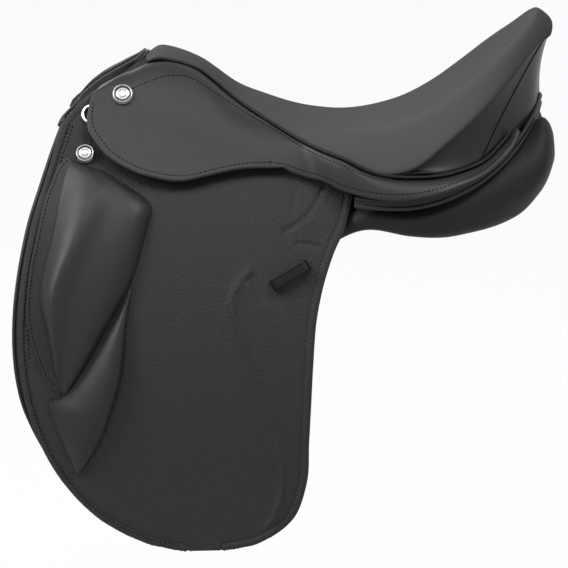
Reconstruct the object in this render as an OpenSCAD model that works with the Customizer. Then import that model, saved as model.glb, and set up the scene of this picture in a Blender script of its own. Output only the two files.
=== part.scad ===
// Dressage saddle, millimetres.
// X runs from the pommel to the cantle, Y to the off side, Z up. The near side is at -Y.
// The origin lies on the horse's spine line, on the mid-plane, under the deepest point of the seat.

/* [Leather] */
// Thickness of the seat leather
seat_t = 3; // [2:0.1:4]
// Thickness of the small skirts
skirt_t = 3.4; // [2.5:0.1:4]
// Thickness of the flaps
flap_t = 4; // [3:0.1:5]
// Thickness of the sweat flaps
sweat_t = 3; // [2:0.1:4]
// Thickness of the cantle leathers
cantle_t = 3; // [2:0.1:4]
// Radius of the welt round the seat
welt_r = 1.8; // [1.2:0.1:2.2]

/* [Layers] */
// Gap between sweat flap and girth strap
strap_gap = 1.6; // [1:0.1:3]
// Gap between girth strap and flap
flap_gap = 2; // [1.2:0.1:4]
// Clearance between the dee's chape and the skirt over it
skirt_gap = 0.6; // [0.4:0.1:3]
// Clearance between seated pieces
seat_clear = 0.4; // [0.2:0.05:0.6]
// Clearance between the flap's curved face and the pads on it
pad_clear = 0.7; // [0.6:0.05:1]

/* [Width] */
// Half width of the panels where their sides start to curve
panel_half_w = 105; // [95:1:115]
// Half width of the panels at the foot of the flap
foot_half_w = 165; // [150:1:175]

/* [Flap] */
// Height of the pressed thigh block above the flap
block_h = 34; // [20:1:40]
// Height of the lower thigh wedge above the flap
wedge_h = 17; // [8:1:24]
// Thickness of the strip in front of the block
strip_t = 2; // [1:0.1:3]

/* [Girth straps] */
// Width of a girth strap
strap_w = 25; // [20:1:28]
// Thickness of a girth strap
strap_t = 3.4; // [2.5:0.1:4]
// Diameter of a buckle hole
hole_d = 5.5; // [4:0.1:6]
// Distance between buckle holes
hole_pitch = 25; // [20:1:27]
// Number of buckle holes in a strap
hole_count = 6; // [4:1:7]
// Height of the lowest buckle hole
hole_low_z = -285; // [-290:1:-275]
// Height of the stitching point where a strap turns
strap_pivot_z = 16; // [10:1:20]

/* [Metal] */
// Diameter of a stud on the pommel
stud_d = 21; // [16:0.5:22]
// Diameter of a stud above the thigh block
block_stud_d = 19; // [15:0.5:20]
// Wire diameter of a dee
dee_wire = 3.4; // [3:0.1:4]
// Outer length of a dee
dee_l = 28; // [24:0.5:30]
// Thickness of a stirrup bar
bar_t = 6; // [5:0.2:6.4]
// Depth of a stirrup bar
bar_h = 12; // [10:0.5:13]
// Gap behind a stirrup bar for the leather
bar_slot = 6; // [5:0.2:6.2]
// Diameter of the pin in a stirrup bar's catch
catch_pin_d = 3; // [2.4:0.1:4]

/* [Tree] */
// Width of the tree's rails
rail_w = 12; // [10:0.5:14]
// Height of the tree's rails
rail_h = 16; // [13:0.5:17]
// Thickness of the steel head plate
plate_t = 3.4; // [2.5:0.1:4]
// Thickness of the webs
web_t = 2; // [1.5:0.1:2.4]
// Thickness of the gullet lining
lining_t = 2.5; // [1.5:0.1:3]

/* [Keeper] */
// Length of the stirrup leather keeper
keeper_l = 41; // [36:0.5:46]
// Width of the keeper
keeper_w = 12; // [9:0.5:14]
// Thickness of the keeper
keeper_t = 3; // [2:0.1:4]
// Clear height under the keeper
keeper_gap = 6; // [5:0.1:8]

/* [Hidden] */
$fn = 48;

leather = "#2b2b2d";
dark_leather = "#1d1d1f";
steel = "#c8cbd0";
canvas = "#8d8672";

// Straight slope of the side above the knee, the height of the knee and of the foot of the curve
side_slope = 0.583;
knee_z = 17;
foot_z = -230;

// Thickness of the leather that holds a dee
chape_wall = 0.6;
chape_t = dee_wire + 2 * chape_wall;

// Offsets of the layers from the panel's side, level and outwards
strap_o = sweat_t + strap_gap;
flap_o = strap_o + strap_t + flap_gap;
seat_o = flap_o + flap_t + pad_clear;
skirt_o = seat_o + chape_t / cos(atan(side_slope)) + skirt_gap;
skirt_out = skirt_o + skirt_t;

// The fold on which flap and skirt lobe lift: a straight line down along the side
fold_front = [-241, 120];
fold_slope = 0.36;
fold_gap = 0.4;
lobe_rear_x = -50;

// Places of the girth straps and of the stirrup bar along the saddle
front_strap_x = -184;
rear_strap_x = -58;
bar_front = [-160, 102];
bar_rear = [-88, 82];
rail_bar_y = 55.5 * tree_ratio(bar_front[0]);
bar_plate_y = rail_bar_y + seat_clear;
bar_plate_t = 3;

// Seat lines from the pommel to the tip of the cantle: mid line, rim and edge
seat_mid = [
    [-190, 0, 152], [-172, 0, 159], [-135, 0, 146], [-97, 0, 119], [-66, 0, 105], [-37, 0, 94],
    [-10, 0, 87], [20, 0, 81], [50, 0, 79], [80, 0, 81], [110, 0, 90], [138, 0, 108],
    [160, 0, 128], [178, 0, 148], [188, 0, 162], [193, 0, 170]
];
seat_rim = [
    [-189, -20, 151], [-172, -18, 158], [-135, -19, 145.5], [-97, -29, 118], [-66, -44, 103.5],
    [-37, -61, 92], [-12, -79, 85], [15, -95, 81], [45, -106, 83], [80, -111, 92], [113, -108, 109],
    [143, -98, 131], [170, -81, 153], [194, -56, 173], [210, -28, 190], [215, 0, 196]
];
seat_edge = [
    [-187, -34, 147], [-171, -33, 151], [-134, -32, 140], [-96, -46, 112], [-66, -66, 95],
    [-37, -86, 80], [-14, -105, 71], [12, -121, 63], [45, -132, 50], [82, -133, 57], [118, -124, 84],
    [146, -111, 107], [173, -90, 132], [201, -58, 160], [220, -28, 174], [228, 0, 172]
];

// Upper and lower line of the fixed skirt
skirt_top = [
    [-232, -54, 126], [-214, -48, 135], [-199, -42, 140.5], [-185, -39, 146], [-171, -38, 147.5],
    [-156, -37, 145.5], [-134, -37.5, 137], [-96, -51, 108.5], [-66, -71, 91], [-37, -91, 76],
    [-14, -110, 67], [11, -126, 59],
    [28, -132.5, 51], [48, -137, 45], [72, -138.5, 42.5], [98, -137, 43], [120, -131, 46], [150, -116, 55],
    [174, -94, 73], [184, -86, 86]
];
skirt_low_rear = [
    [-26, -113, 43], [-9, -119, 40], [8, -126, 34], [28, -133.5, 29.5], [48, -139, 28], [72, -141, 29],
    [98, -139, 34], [120, -133.5, 40.5], [150, -120, 52], [175, -99, 69], [187, -88, 85]
];
skirt_fold_x = [-239, -231, -217, -202, -186, -167, -138, -104, -50];
lobe_low = [
    [-242, 110], [-244, 96], [-242, 85], [-234, 74], [-222, 62], [-204, 52], [-184, 45], [-152, 40],
    [-118, 46], [-95, 50], [-72, 51], [-51, 49.5]
];

// Front and rear edge of the flap and of the sweat flap
flap_front = [
    [-241, 119], [-268, 92], [-281, 52], [-294, 6], [-304, -40], [-309, -88], [-308, -135],
    [-298, -190], [-274, -245], [-236, -290], [-190, -317], [-150, -327]
];
flap_rear = [
    [20, 25.5], [13, -2], [0, -30], [-10, -60], [-17, -95], [-20, -135], [-22, -175],
    [-24, -215], [-26, -255], [-40, -294], [-72, -318], [-105, -326]
];
sweat_front = [
    [-270, 92], [-281, 62], [-292, 28], [-303, -9], [-312, -60], [-315.5, -105], [-313, -150],
    [-303, -190], [-278, -236], [-235, -272], [-190, -286]
];
sweat_rear = [
    [-4, -44], [-9, -60], [-14, -80], [-18, -105], [-22, -130], [-25, -155], [-28, -180],
    [-32, -210], [-40, -245], [-70, -275], [-120, -287]
];

// Front and rear edge of the thigh block, its front strip and the lower wedge
block_front = [
    [-261, 55], [-266, 42], [-270, 22], [-278, -18], [-285, -45], [-288, -64], [-287, -82],
    [-283, -100], [-279, -120], [-275, -142], [-268, -162]
];
block_rear = [
    [-228, 46], [-190, 24], [-180, 12], [-183, -4], [-190, -30], [-198, -55], [-211, -80],
    [-225, -105], [-239, -130], [-252, -150], [-264, -166]
];
strip_front = [
    [-265, 59], [-273, 50], [-280, 34], [-286, 17], [-292, -12], [-298, -42], [-301, -70],
    [-300.5, -96], [-294, -122], [-286, -144], [-275, -160]
];
wedge_front = [
    [-200.5, -62], [-212, -83], [-226, -107.5], [-240, -132.5], [-253, -152.5], [-266, -169],
    [-272, -188], [-269, -208], [-262, -228], [-255.5, -243]
];
wedge_rear = [
    [-198.5, -64], [-202, -86], [-204, -108], [-206, -132], [-210, -156], [-217, -180],
    [-226, -204], [-236, -224], [-245, -238], [-252, -246.5]
];

// Tree rail from head to cantle, outer face and middle height
rail_line = [
    [-194, 0, 133], [-187, -27, 131], [-168, -48, 124], [-140, -55, 108], [-110, -55, 96], [-80, -55, 86],
    [-30, -74, 64], [20, -90, 49], [70, -98, 46], [120, -94, 62], [165, -74, 97], [194, -40, 126],
    [204, 0, 136.5]
];

// Panel stations: x, inner end y and z, outer end y and z, half thickness
panel_rows = [
    [-266, 52, 84, 66, 58, 5], [-258, 44, 90, 82, 30, 13], [-236, 39, 92, 109, -30, 20],
    [-200, 39, 88, 129, -74, 22], [-150, 43, 78, 135, -86, 22], [-100, 49, 60, 134, -80, 21.5],
    [-50, 54, 40, 126, -56, 20.5], [0, 58, 25, 119, -22, 16], [35, 58, 17, 129, -3, 15],
    [77, 57, 13, 136, -6, 18], [110, 54, 19, 133, -5, 24], [140, 50, 30, 124, 0, 29],
    [170, 43, 44.5, 108, 4, 33], [195, 34.5, 61, 88, 11.5, 34.3], [213, 29.5, 76.5, 70, 34, 28.5],
    [223, 32, 76, 57, 50, 20], [228, 38, 72, 48, 60, 9]
];

// Welt between the seat and the skirt
welt_line = [
    [-187, -36.8, 147], [-171, -35.6, 149.6], [-134, -35, 138.8], [-96, -48.7, 110.6], [-66, -68.7, 93.3],
    [-37, -88.7, 78.3], [-14, -107.7, 69.3], [12, -123.8, 61.2], [30, -130, 53.2], [47, -134.8, 47.8],
    [72, -136.6, 45.3], [98, -135, 45.8], [120, -129, 48.6], [150, -114, 57.6], [171, -94, 73.6], [178, -88, 81]
];

// Upper and lower line of the cantle leathers
cantle_top = [
    [72, -131, 49.5], [84, -130, 56], [118, -121.5, 81.5], [146, -108.5, 104.5], [172, -88, 129], 
    [199, -56.5, 157], [217.4, -28, 171.6], [225, 0, 169.8]
];
cantle_low = [
    [70, -132, 48.5], [92, -130.5, 49.5], [120, -124.5, 52], [148, -110, 60.5], [170, -90.5, 76], 
    [191, -67, 90], [208.5, -38, 103], [217.5, 0, 113]
];

// Roof of the gullet: x and height
lining_line = [
    [-197, 113], [-185, 114.6], [-165, 112], [-140, 99], [-110, 86], [-80, 76], [-30, 54.5],
    [20, 39.5], [70, 36.5], [120, 51], [165, 86], [183, 103], [194, 114]
];
lining_half = 26;

// Route of the panel's top band, and outer and inner edge of the leather that faces the pommel
band_route = [
    [22, -134, 20.8], [47, -139, 19.3], [77, -141, 19.8], [107, -138, 25.8], [139, -127, 38.3], 
    [167, -106, 54.8], [190, -78, 73.6], [207, -44, 92], [216, -12, 104], [217, -2, 105.5]
];
facing_outer = [
    [-270, -59, 97], [-263, -50, 103.5], [-254, -41, 113.5], [-237, -32, 127], [-218, -27, 138],
    [-200, -21, 148.5], [-193.6, -10, 154], [-192.8, 0, 155]
];
facing_inner = [
    [-267.5, -57.5, 91], [-259, -53, 92], [-248, -49, 95], [-233, -42, 99], [-218, -35, 105],
    [-208, -27, 110], [-203, -15, 113], [-202, 0, 114]
];
facing_t = 3.4;
facing_bulge = 4;
band_half = [3, 5.5];

// Smooth curves and grids

function flat(rows) = [for (row = rows) each row];

function spline(p, s) =
    let (n = len(p) - 1, i = min(floor(s), n - 1), t = s - i, b = p[i], c = p[i + 1])
    let (a = i > 0 ? p[i - 1] : 2 * b - c, d = i < n - 1 ? p[i + 2] : 2 * c - b)
    0.5 * (2 * b + (c - a) * t + (2 * a - 5 * b + 4 * c - d) * t * t + (3 * b - a - 3 * c + d) * t * t * t);

function smooth(p, n) = [for (i = [0:n]) spline(p, (len(p) - 1) * i / n)];

function mix(a, b, t) = a + (b - a) * t;

function unit(v) = v / max(norm(v), 1e-6);

// The lists are drawn for a half width of 105: how far the front parts move out for another one, and
// the same as a ratio for the tree. Both die out from the middle of the seat to the rear.
function front_part(x) = min(max((35 - x) / 85, 0), 1);
function widen(x) = (panel_half_w - 105) * front_part(x);
function tree_ratio(x) = 1 + (panel_half_w / 105 - 1) * front_part(x);

// Distance of the panel's side from the mid-plane at a height
function side(z) =
    z >= knee_z ? panel_half_w - side_slope * (z - knee_z) :
    z <= foot_z ? foot_half_w :
    let (t = (knee_z - z) / (knee_z - foot_z), rise = side_slope * (knee_z - foot_z))
    panel_half_w * (1 - 3 * t * t + 2 * t * t * t) + rise * (t - 2 * t * t + t * t * t)
        + foot_half_w * (3 * t * t - 2 * t * t * t);

// Point on the near side, a layer's offset outside the panel
function on_side(x, z, o) = [x, -(side(z) + o), z];

function fold_z(x) = fold_front[1] - fold_slope * (x - fold_front[0]);

// Angle by which the side leans at a height
function lean(z) = atan(side(z - 0.5) - side(z + 0.5));

// Rows of points between a front and a rear edge, laid on the side
function side_grid(front, rear, rows, cols, offset) =
    let (left = smooth(front, rows), right = smooth(rear, rows))
    [for (i = [0:rows])
        [for (j = [0:cols]) let (p = mix(left[i], right[i], j / cols)) on_side(p[0], p[1], offset)]];

// A grid moved along its own normals by a distance
function inset(g, d) =
    let (m = len(g) - 1, n = len(g[0]) - 1)
    [for (i = [0:m]) [for (j = [0:n])
        let (u = g[min(i + 1, m)][j] - g[max(i - 1, 0)][j], v = g[i][min(j + 1, n)] - g[i][max(j - 1, 0)])
        g[i][j] + d * unit(cross(u, v))]];

function quads(m, n, base, turn) =
    [for (i = [0:m - 1]) for (j = [0:n - 1])
        let (a = base + i * (n + 1) + j, b = a + 1, d = a + n + 1, c = d + 1)
        each turn ? [[a, c, b], [a, d, c]] : [[a, b, c], [a, c, d]]];

function rim_loop(m, n) = concat([for (j = [0:n - 1]) j], [for (i = [0:m - 1]) i * (n + 1) + n],
    [for (j = [n:-1:1]) m * (n + 1) + j], [for (i = [m:-1:1]) i * (n + 1)]);

// A closed body whose faces are turned outwards
module body_of(points, faces) {
    volume = [for (f = faces) cross(points[f[0]], points[f[1]]) * points[f[2]]] * [for (f = faces) 1];
    polyhedron(points, volume > 0 ? [for (f = faces) [f[2], f[1], f[0]]] : faces);
}

// The body between two grids of the same size
module between(outer, inner) {
    m = len(outer) - 1;
    n = len(outer[0]) - 1;
    base = (m + 1) * (n + 1);
    loop = rim_loop(m, n);
    count = len(loop);
    walls = [for (k = [0:count - 1]) let (p = loop[k], q = loop[(k + 1) % count])
        each [[q, p, p + base], [q, p + base, q + base]]];
    body_of(concat(flat(outer), flat(inner)), concat(quads(m, n, 0, false), quads(m, n, base, true), walls));
}

// The body of both halves of a spoon: near half grids whose last column and last row lie on the mid-plane
module spoon(outer, inner) {
    m = len(outer) - 1;
    n = len(outer[0]) - 1;
    near_count = (m + 1) * (n + 1);
    layer = near_count + m * n;
    points = [for (g = [outer, inner]) each concat(flat(g),
        [for (i = [0:m - 1]) for (j = [0:n - 1]) [g[i][j][0], -g[i][j][1], g[i][j][2]]])];
    function near(i, j) = i * (n + 1) + j;
    function off(i, j) = i == m || j == n ? near(i, j) : near_count + i * n + j;
    skin = [for (i = [0:m - 1]) for (j = [0:n - 1]) each [
        [near(i, j), near(i, j + 1), near(i + 1, j + 1)], [near(i, j), near(i + 1, j + 1), near(i + 1, j)],
        [off(i, j), off(i + 1, j + 1), off(i, j + 1)], [off(i, j), off(i + 1, j), off(i + 1, j + 1)]]];
    edges = concat([for (i = [0:m - 1]) each [[near(i + 1, 0), near(i, 0)], [off(i, 0), off(i + 1, 0)]]],
        [for (j = [0:n - 1]) each [[near(0, j), near(0, j + 1)], [off(0, j + 1), off(0, j)]]]);
    walls = [for (e = edges) each [[e[1], e[0], e[0] + layer], [e[1], e[0] + layer, e[1] + layer]]];
    body_of(points, concat(skin, [for (f = skin) [f[2], f[1], f[0]] + [layer, layer, layer]], walls));
}

// The body through rings of equal count, with flat ends
module through(rings) {
    m = len(rings) - 1;
    n = len(rings[0]);
    skin = [for (i = [0:m - 1]) for (j = [0:n - 1])
        let (a = i * n + j, b = i * n + (j + 1) % n, c = b + n, d = a + n) each [[a, b, c], [a, c, d]]];
    ends = [for (j = [1:n - 2]) each [[0, j + 1, j], [m * n, m * n + j, m * n + j + 1]]];
    body_of(flat(rings), concat(skin, ends));
}

// The body through a closed round of rings
module loop_body(rings) {
    m = len(rings);
    n = len(rings[0]);
    body_of(flat(rings), [for (i = [0:m - 1]) for (j = [0:n - 1])
        let (next = (i + 1) % m, a = i * n + j, b = i * n + (j + 1) % n)
        let (c = next * n + (j + 1) % n, d = next * n + j)
        each [[a, b, c], [a, c, d]]]);
}

// Rings of an oval along a route: half sizes across the route level with the ground, and upright
function oval_rings(route, half, count) =
    let (m = len(route) - 1)
    [for (i = [0:m])
        let (t = unit(route[min(i + 1, m)] - route[max(i - 1, 0)]), s = unit(cross(t, [0, 0, 1])), u = cross(s, t))
        [for (k = [0:count - 1]) let (f = 360 * k / count)
            route[i] + s * half[0] * cos(f) + u * half[1] * sin(f)]];

module off_side() mirror([0, 1, 0]) children();

// Turned out to lie on the near side at a point, with Z outwards and Y up along the side
module seat_on_side(x, z, o) translate(on_side(x, z, o)) rotate([90 - lean(z), 0, 0]) children();

// Seat surfaces

seat_rows = 30;

// One line across the near half of the seat, from the edge over the rim to the mid line
function seat_line(u) =
    let (c = spline(seat_mid, u), r = spline(seat_rim, u), e = spline(seat_edge, u))
    let (way = unit([e[0] - c[0], e[1] - c[1], 0]), drop = r[2] - e[2])
    let (dish = [mix(c[0], r[0], 0.5), mix(c[1], r[1], 0.5), mix(c[2], r[2], 0.26)])
    let (roll = mix(r, e, 0.5) + 0.16 * drop * way + [0, 0, 0.14 * drop])
    smooth([e, roll, r, dish, c], 8);

seat_grid = [for (i = [0:seat_rows]) let (line = seat_line((len(seat_mid) - 1) * i / seat_rows))
    i == seat_rows ? [for (p = line) [p[0], 0, p[2]]] : line];

// A half grid of the seat moved inwards, kept on the mid-plane where it was
function seat_inset(d) =
    let (g = inset(seat_grid, -d), m = len(g) - 1, n = len(g[0]) - 1)
    [for (i = [0:m]) [for (j = [0:n]) i == m || j == n ? [g[i][j][0], 0, g[i][j][2]] : g[i][j]]];

// The tree's rail as a closed loop, its inner face, and its width and top along the saddle
rail_half = [for (p = smooth(rail_line, 30)) [p[0], p[1] * tree_ratio(p[0]), p[2]]];
rail_last = len(rail_half) - 1;
rail_loop = concat(rail_half, [for (i = [rail_last - 1:-1:1]) let (p = rail_half[i]) [p[0], -p[1], p[2]]]);
function rail_inner(i) =
    let (n = len(rail_loop), t = rail_loop[(i + 1) % n] - rail_loop[(i + n - 1) % n])
    rail_loop[i] - rail_w * unit([t[1], -t[0], 0]);
rail_tops = [for (p = rail_half) [p[0], p[2]]];
rail_inner_tops = [for (i = [0:rail_last]) let (p = rail_inner(i)) [p[0], p[2]]];
rail_widths = [for (p = rail_half) [p[0], -p[1]]];
function rail_top(x) = max(lookup(x, rail_tops), lookup(x, rail_inner_tops)) + rail_h / 2;

// The skirt's outer surface, column by column from the welt down
skirt_low = concat([for (x = skirt_fold_x) on_side(x, fold_z(x) + fold_gap, skirt_out)], skirt_low_rear);
skirt_bulge = 4;
function skirt_column(s, steps) =
    let (a = spline(skirt_top, s), b = spline(skirt_low, s), z = a[2] - 2)
    let (y = -max(side(z) + skirt_out + skirt_bulge, -(a[1] + b[1]) / 2 + 1.5), c = [(a[0] + b[0]) / 2, y, z])
    [for (k = [0:steps]) let (t = k / steps) (1 - t) * (1 - t) * a + 2 * t * (1 - t) * c + t * t * b];
skirt_cols = 36;
skirt_steps = 5;
skirt_grid = [for (i = [0:skirt_cols]) skirt_column((len(skirt_top) - 1) * i / skirt_cols, skirt_steps)];

// The skirt's inner surface, whose lower edge ends level with the outer one
skirt_inner = let (g = inset(skirt_grid, skirt_t)) [for (i = [0:skirt_cols]) [for (k = [0:skirt_steps])
    k < skirt_steps ? g[i][k] : [g[i][k][0], g[i][k][1], skirt_grid[i][k][2]]]];

// Pieces on the tree

module saddle_tree() color("#b08d5a") loop_body([for (i = [0:len(rail_loop) - 1])
    let (out = rail_loop[i], in = rail_inner(i), h = [0, 0, rail_h / 2]) [out + h, out - h, in - h, in + h]]);

// Inverted U of steel whose points run down inside the sweat flaps
plate_front_x = -192;
plate_l = 24;
plate_foot_z = 72;
plate_top_z = 123.8;
plate_o = -0.8;
plate_bend_z = 98;
plate_draw = 10;
plate_round = 8;
plate_half = [34, 12];
module head_plate() color("#70747a") {
    leg = [for (z = [plate_foot_z, plate_bend_z]) [side(z) + plate_o, z]];
    crown = [[side(plate_bend_z) + plate_o - plate_draw, plate_bend_z + plate_draw],
        [plate_half[0], plate_top_z - plate_round], [plate_half[1], plate_top_z]];
    half = concat(leg, crown);
    outer = concat(half, [for (i = [len(half) - 1:-1:0]) [-half[i][0], half[i][1]]]);
    inner = [for (p = outer) p - plate_t * unit([p[0] * 0.9, p[1] - 40])];
    translate([plate_front_x, 0, 0]) rotate([90, 0, 90]) linear_extrude(plate_l)
        polygon(concat(outer, [for (i = [len(inner) - 1:-1:0]) inner[i]]));
}

// Rivets that hold the plates of the stirrup bars on the rails
rivet_d = 5;
rivet_head = 1;
module tree_rivets() color(steel) {
    for (s = [-1, 1], t = [0.34, 0.62]) {
        p = mix(bar_front, bar_rear, t);
        translate([p[0], s * (bar_plate_y + bar_plate_t + 0.2 + rivet_head / 2), p[1]]) rotate([90, 0, 0])
            cylinder(d = rivet_d * 1.5, h = rivet_head, center = true);
    }
}

// Web from head to cantle, and the rear girth web that crosses the rails under it
web_half_w = 26;
web_stations = [
    -190, -182, -175, -160, -140, -110, -80, -50, -20, 10, 40, 70, 100, 130, 155, 168, 178, 186, 191, 200
];
function web_z(x) = max([for (d = [-4:2:4]) rail_top(x + d)]) + seat_clear;
module seat_web() color(canvas) {
    low = [for (x = web_stations) [for (y = [-web_half_w, web_half_w]) [x, y, web_z(x)]]];
    between([for (row = low) [for (p = row) p + [0, 0, web_t]]], low);
}

girth_web_half = 15;
web_bend_z = 52;
web_drop = 7;
strap_top_z = strap_pivot_z + strap_w / 2;
web_foot_z = strap_top_z + 0.6;
function girth_web_line(x, o) =
    let (w = lookup(x, rail_widths), top = rail_top(x) + seat_clear + o, dip = rail_top(x) - web_t + o)
    let (half = [on_side(x, web_foot_z, strap_o + o), on_side(x, web_bend_z, strap_o + o),
        on_side(x, top - rail_h, strap_o + o), [x, -(w + web_t + o), top - web_t / 2],
        [x, rail_w + web_t / 2 - w, top], [x, rail_w + web_drop - w, dip]])
    concat(half, [for (i = [len(half) - 1:-1:0]) [x, -half[i][1], half[i][2]]]);
module rear_girth_web() color(canvas) {
    xs = [for (k = [-1, 0, 1]) rear_strap_x + k * girth_web_half];
    between([for (x = xs) girth_web_line(x, web_t)], [for (x = xs) girth_web_line(x, 0)]);
}

// Web from the point of the head plate down to the front strap
front_web_z = [50, 66, 96];
function front_web_line(x, o) = [on_side(x, web_foot_z, strap_o + o), on_side(x, front_web_z[0], strap_o + o),
    for (z = [front_web_z[1], front_web_z[2]]) on_side(x, z, plate_o + seat_clear + o)];
module front_girth_web() color(canvas) {
    xs = [front_strap_x - strap_w / 2, front_strap_x + strap_w / 2];
    between([for (x = xs) front_web_line(x, web_t)], [for (x = xs) front_web_line(x, 0)]);
}

// Foam under the seat, drawn in from the seat's edge and thin outside the tree
foam_edge = 2;
foam_least = 2.5;
foam_room = 2;
function outside_tree(p) = p[0] > rail_half[rail_last][0] || abs(p[1]) > lookup(p[0], rail_widths) + rail_w;
function foam_low(p) =
    let (thin = p[2] - foam_least)
    outside_tree(p) ? thin : min(thin, web_z(p[0]) + web_t + foam_room);
module seat_foam() color("#c9b98a") {
    top = [for (row = seat_inset(seat_t + seat_clear)) [for (j = [foam_edge:len(row) - 1]) row[j]]];
    spoon(top, [for (row = top) [for (p = row) [p[0], p[1], foam_low(p)]]]);
}

module seat_cover() color(leather) spoon(seat_grid, seat_inset(seat_t));

module welt() color(dark_leather) through(oval_rings(smooth(welt_line, 34), [welt_r, welt_r], 6));

// Leather over the front of the head, from its outer edge in to the gullet
module pommel_facing() color(leather) {
    cols = 12;
    rows = 4;
    outer = smooth(facing_outer, cols);
    inner = smooth(facing_inner, cols);
    near = [for (i = [0:cols]) [for (k = [0:rows]) let (s = k / rows)
        mix(outer[i], inner[i], s) - [facing_bulge * 4 * s * (1 - s), 0, 0]]];
    grid = concat(near, [for (i = [cols - 1:-1:0]) [for (p = near[i]) [p[0], -p[1], p[2]]]]);
    between(grid, inset(grid, -facing_t));
}

module skirt() color(leather) between(skirt_grid, skirt_inner);

// Leathers under the crease of the cantle, parted by a slanting seam
seam_high = 6.3;
seam_low = 3;
seam_gap = 0.02;
cantle_hollow = 3;
cantle_rows = 4;
function cantle_point(u, v) =
    let (a = spline(cantle_top, u), b = spline(cantle_low, u), p = mix(a, b, v))
    p - unit([0.3 * p[0], p[1], 0]) * cantle_hollow * 4 * v * (1 - v);
function cantle_inner(u, v) =
    let (e = 0.05, last = len(cantle_top) - 1, down = cantle_point(u, v + e) - cantle_point(u, v - e))
    let (along = u > last - e ? [0, 1, 0] : cantle_point(u + e, v) - cantle_point(max(u - e, 0), v))
    cantle_point(u, v) - cantle_t * unit(cross(down, along));
function seam_at(v) = mix(seam_high, seam_low, pow(v, 0.8));
module cantle_side() color(leather) {
    cols = 10;
    grid = function (place) [for (i = [0:cantle_rows]) let (v = i / cantle_rows)
        [for (j = [0:cols]) place((seam_at(v) - seam_gap) * j / cols, v)]];
    between(grid(function (u, v) cantle_point(u, v)), grid(function (u, v) cantle_inner(u, v)));
}
module cantle_back() color(leather) {
    cols = 7;
    last = len(cantle_top) - 1;
    grid = function (place) [for (i = [0:cantle_rows]) let (v = i / cantle_rows)
        let (near = [for (j = [0:cols]) place(mix(seam_at(v) + seam_gap, last, j / cols), v)])
        concat(near, [for (j = [cols - 1:-1:0]) [near[j][0], -near[j][1], near[j][2]]])];
    between(grid(function (u, v) cantle_point(u, v)), grid(function (u, v) cantle_inner(u, v)));
}

// Flocked panel: flattened ovals between an inner and an outer end
panel_sides = 14;
function panel_ring(r) =
    let (a = [r[1] + widen(r[0]), r[2]], b = [r[3] + widen(r[0]), r[4]], d = unit(b - a))
    [for (k = [0:panel_sides - 1])
        let (f = 360 * k / panel_sides, s = (1 - cos(f)) / 2, w = sin(f), h = r[5] * sign(w) * pow(abs(w), 0.7))
        let (p = mix(a, b, s) + h * [-d[1], d[0]]) [r[0], -p[0], p[1]]];
module panel() color(dark_leather) through([for (r = smooth(panel_rows, 26)) panel_ring(r)]);

module panel_band() color(leather) through(oval_rings(smooth(band_route, 22), band_half, 8));

// Lining of the gullet: a roof whose sides come down to the panels' inner edges
panel_inner_y = [for (r = panel_rows) [r[0], r[1] + widen(r[0])]];
panel_inner_z = [for (r = panel_rows) [r[0], r[2]]];
lining_stop = [1.2, 0.7];
lining_taper = 0.95;
module gullet_lining() color(dark_leather) {
    top = [for (p = smooth(lining_line, 20))
        let (y = lookup(p[0], panel_inner_y) - lining_stop[0], z = lookup(p[0], panel_inner_z) + lining_stop[1])
        [[p[0], -y, z], [p[0], -lining_half, p[1]], [p[0], lining_half, p[1]], [p[0], y, z]]];
    between(top, [for (row = top) [for (p = row) [p[0], lining_taper * p[1], p[2] - lining_t]]]);
}

module sweat_flap() color(dark_leather)
    between(side_grid(sweat_front, sweat_rear, 14, 6, sweat_t), side_grid(sweat_front, sweat_rear, 14, 6, 0));

// Nailed root of the flap above the fold
root_h = 4;
root_x = [-234, 14];
module flap_top() color(leather) {
    line = function (o, up) [for (i = [0:10]) let (x = mix(root_x[0], root_x[1], i / 10))
        on_side(x, fold_z(x) + fold_gap + up, o)];
    between([line(flap_o + flap_t, root_h), line(flap_o + flap_t, 0)], [line(flap_o, root_h), line(flap_o, 0)]);
}

// Upright outline of a bar with round ends, in X and Z
module slat(a, b, h) translate(a) rotate(atan2(b[1] - a[1], b[0] - a[0])) {
    translate([0, -h / 2]) square([norm(b - a), h]);
    circle(d = h);
    translate([norm(b - a), 0]) circle(d = h);
}

// An X and Z outline made solid on the near side, between two distances from the mid-plane
module upright(from, to) translate([0, -from, 0]) rotate([90, 0, 0]) linear_extrude(to - from) children();

bar_in = bar_plate_y + bar_plate_t + bar_slot;
bar_out = bar_in + bar_t;
catch_t = 2;
catch_gap = 0.3;
catch_l = 11;
pin_fit = 0.05;
module stirrup_bar() color(steel) {
    plate_end = mix(bar_front, bar_rear, 0.8);
    lug_end = mix(bar_front, bar_rear, 0.12);
    difference() {
        union() {
            upright(bar_plate_y, bar_plate_y + bar_plate_t) slat(bar_front, plate_end, bar_h);
            upright(bar_plate_y, bar_out) slat(bar_front, lug_end, bar_h);
            upright(bar_in, bar_out) slat(bar_front, bar_rear, bar_h);
        }
        mid = (bar_in + bar_out) / 2;
        half = catch_t / 2 + catch_gap;
        upright(mid - half, mid + half) {
            translate(bar_rear) circle(d = bar_h + 1);
            slat(bar_rear, bar_rear + (bar_rear - bar_front) * 0.2, bar_h + 1);
        }
        upright(bar_in - 1, bar_out + 1) translate(bar_rear) circle(d = catch_pin_d);
    }
}
module catch_pin() color("#9a9da2") upright(bar_in + 0.1, bar_out - 0.1) translate(bar_rear)
    circle(d = catch_pin_d - 0.02);
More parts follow.
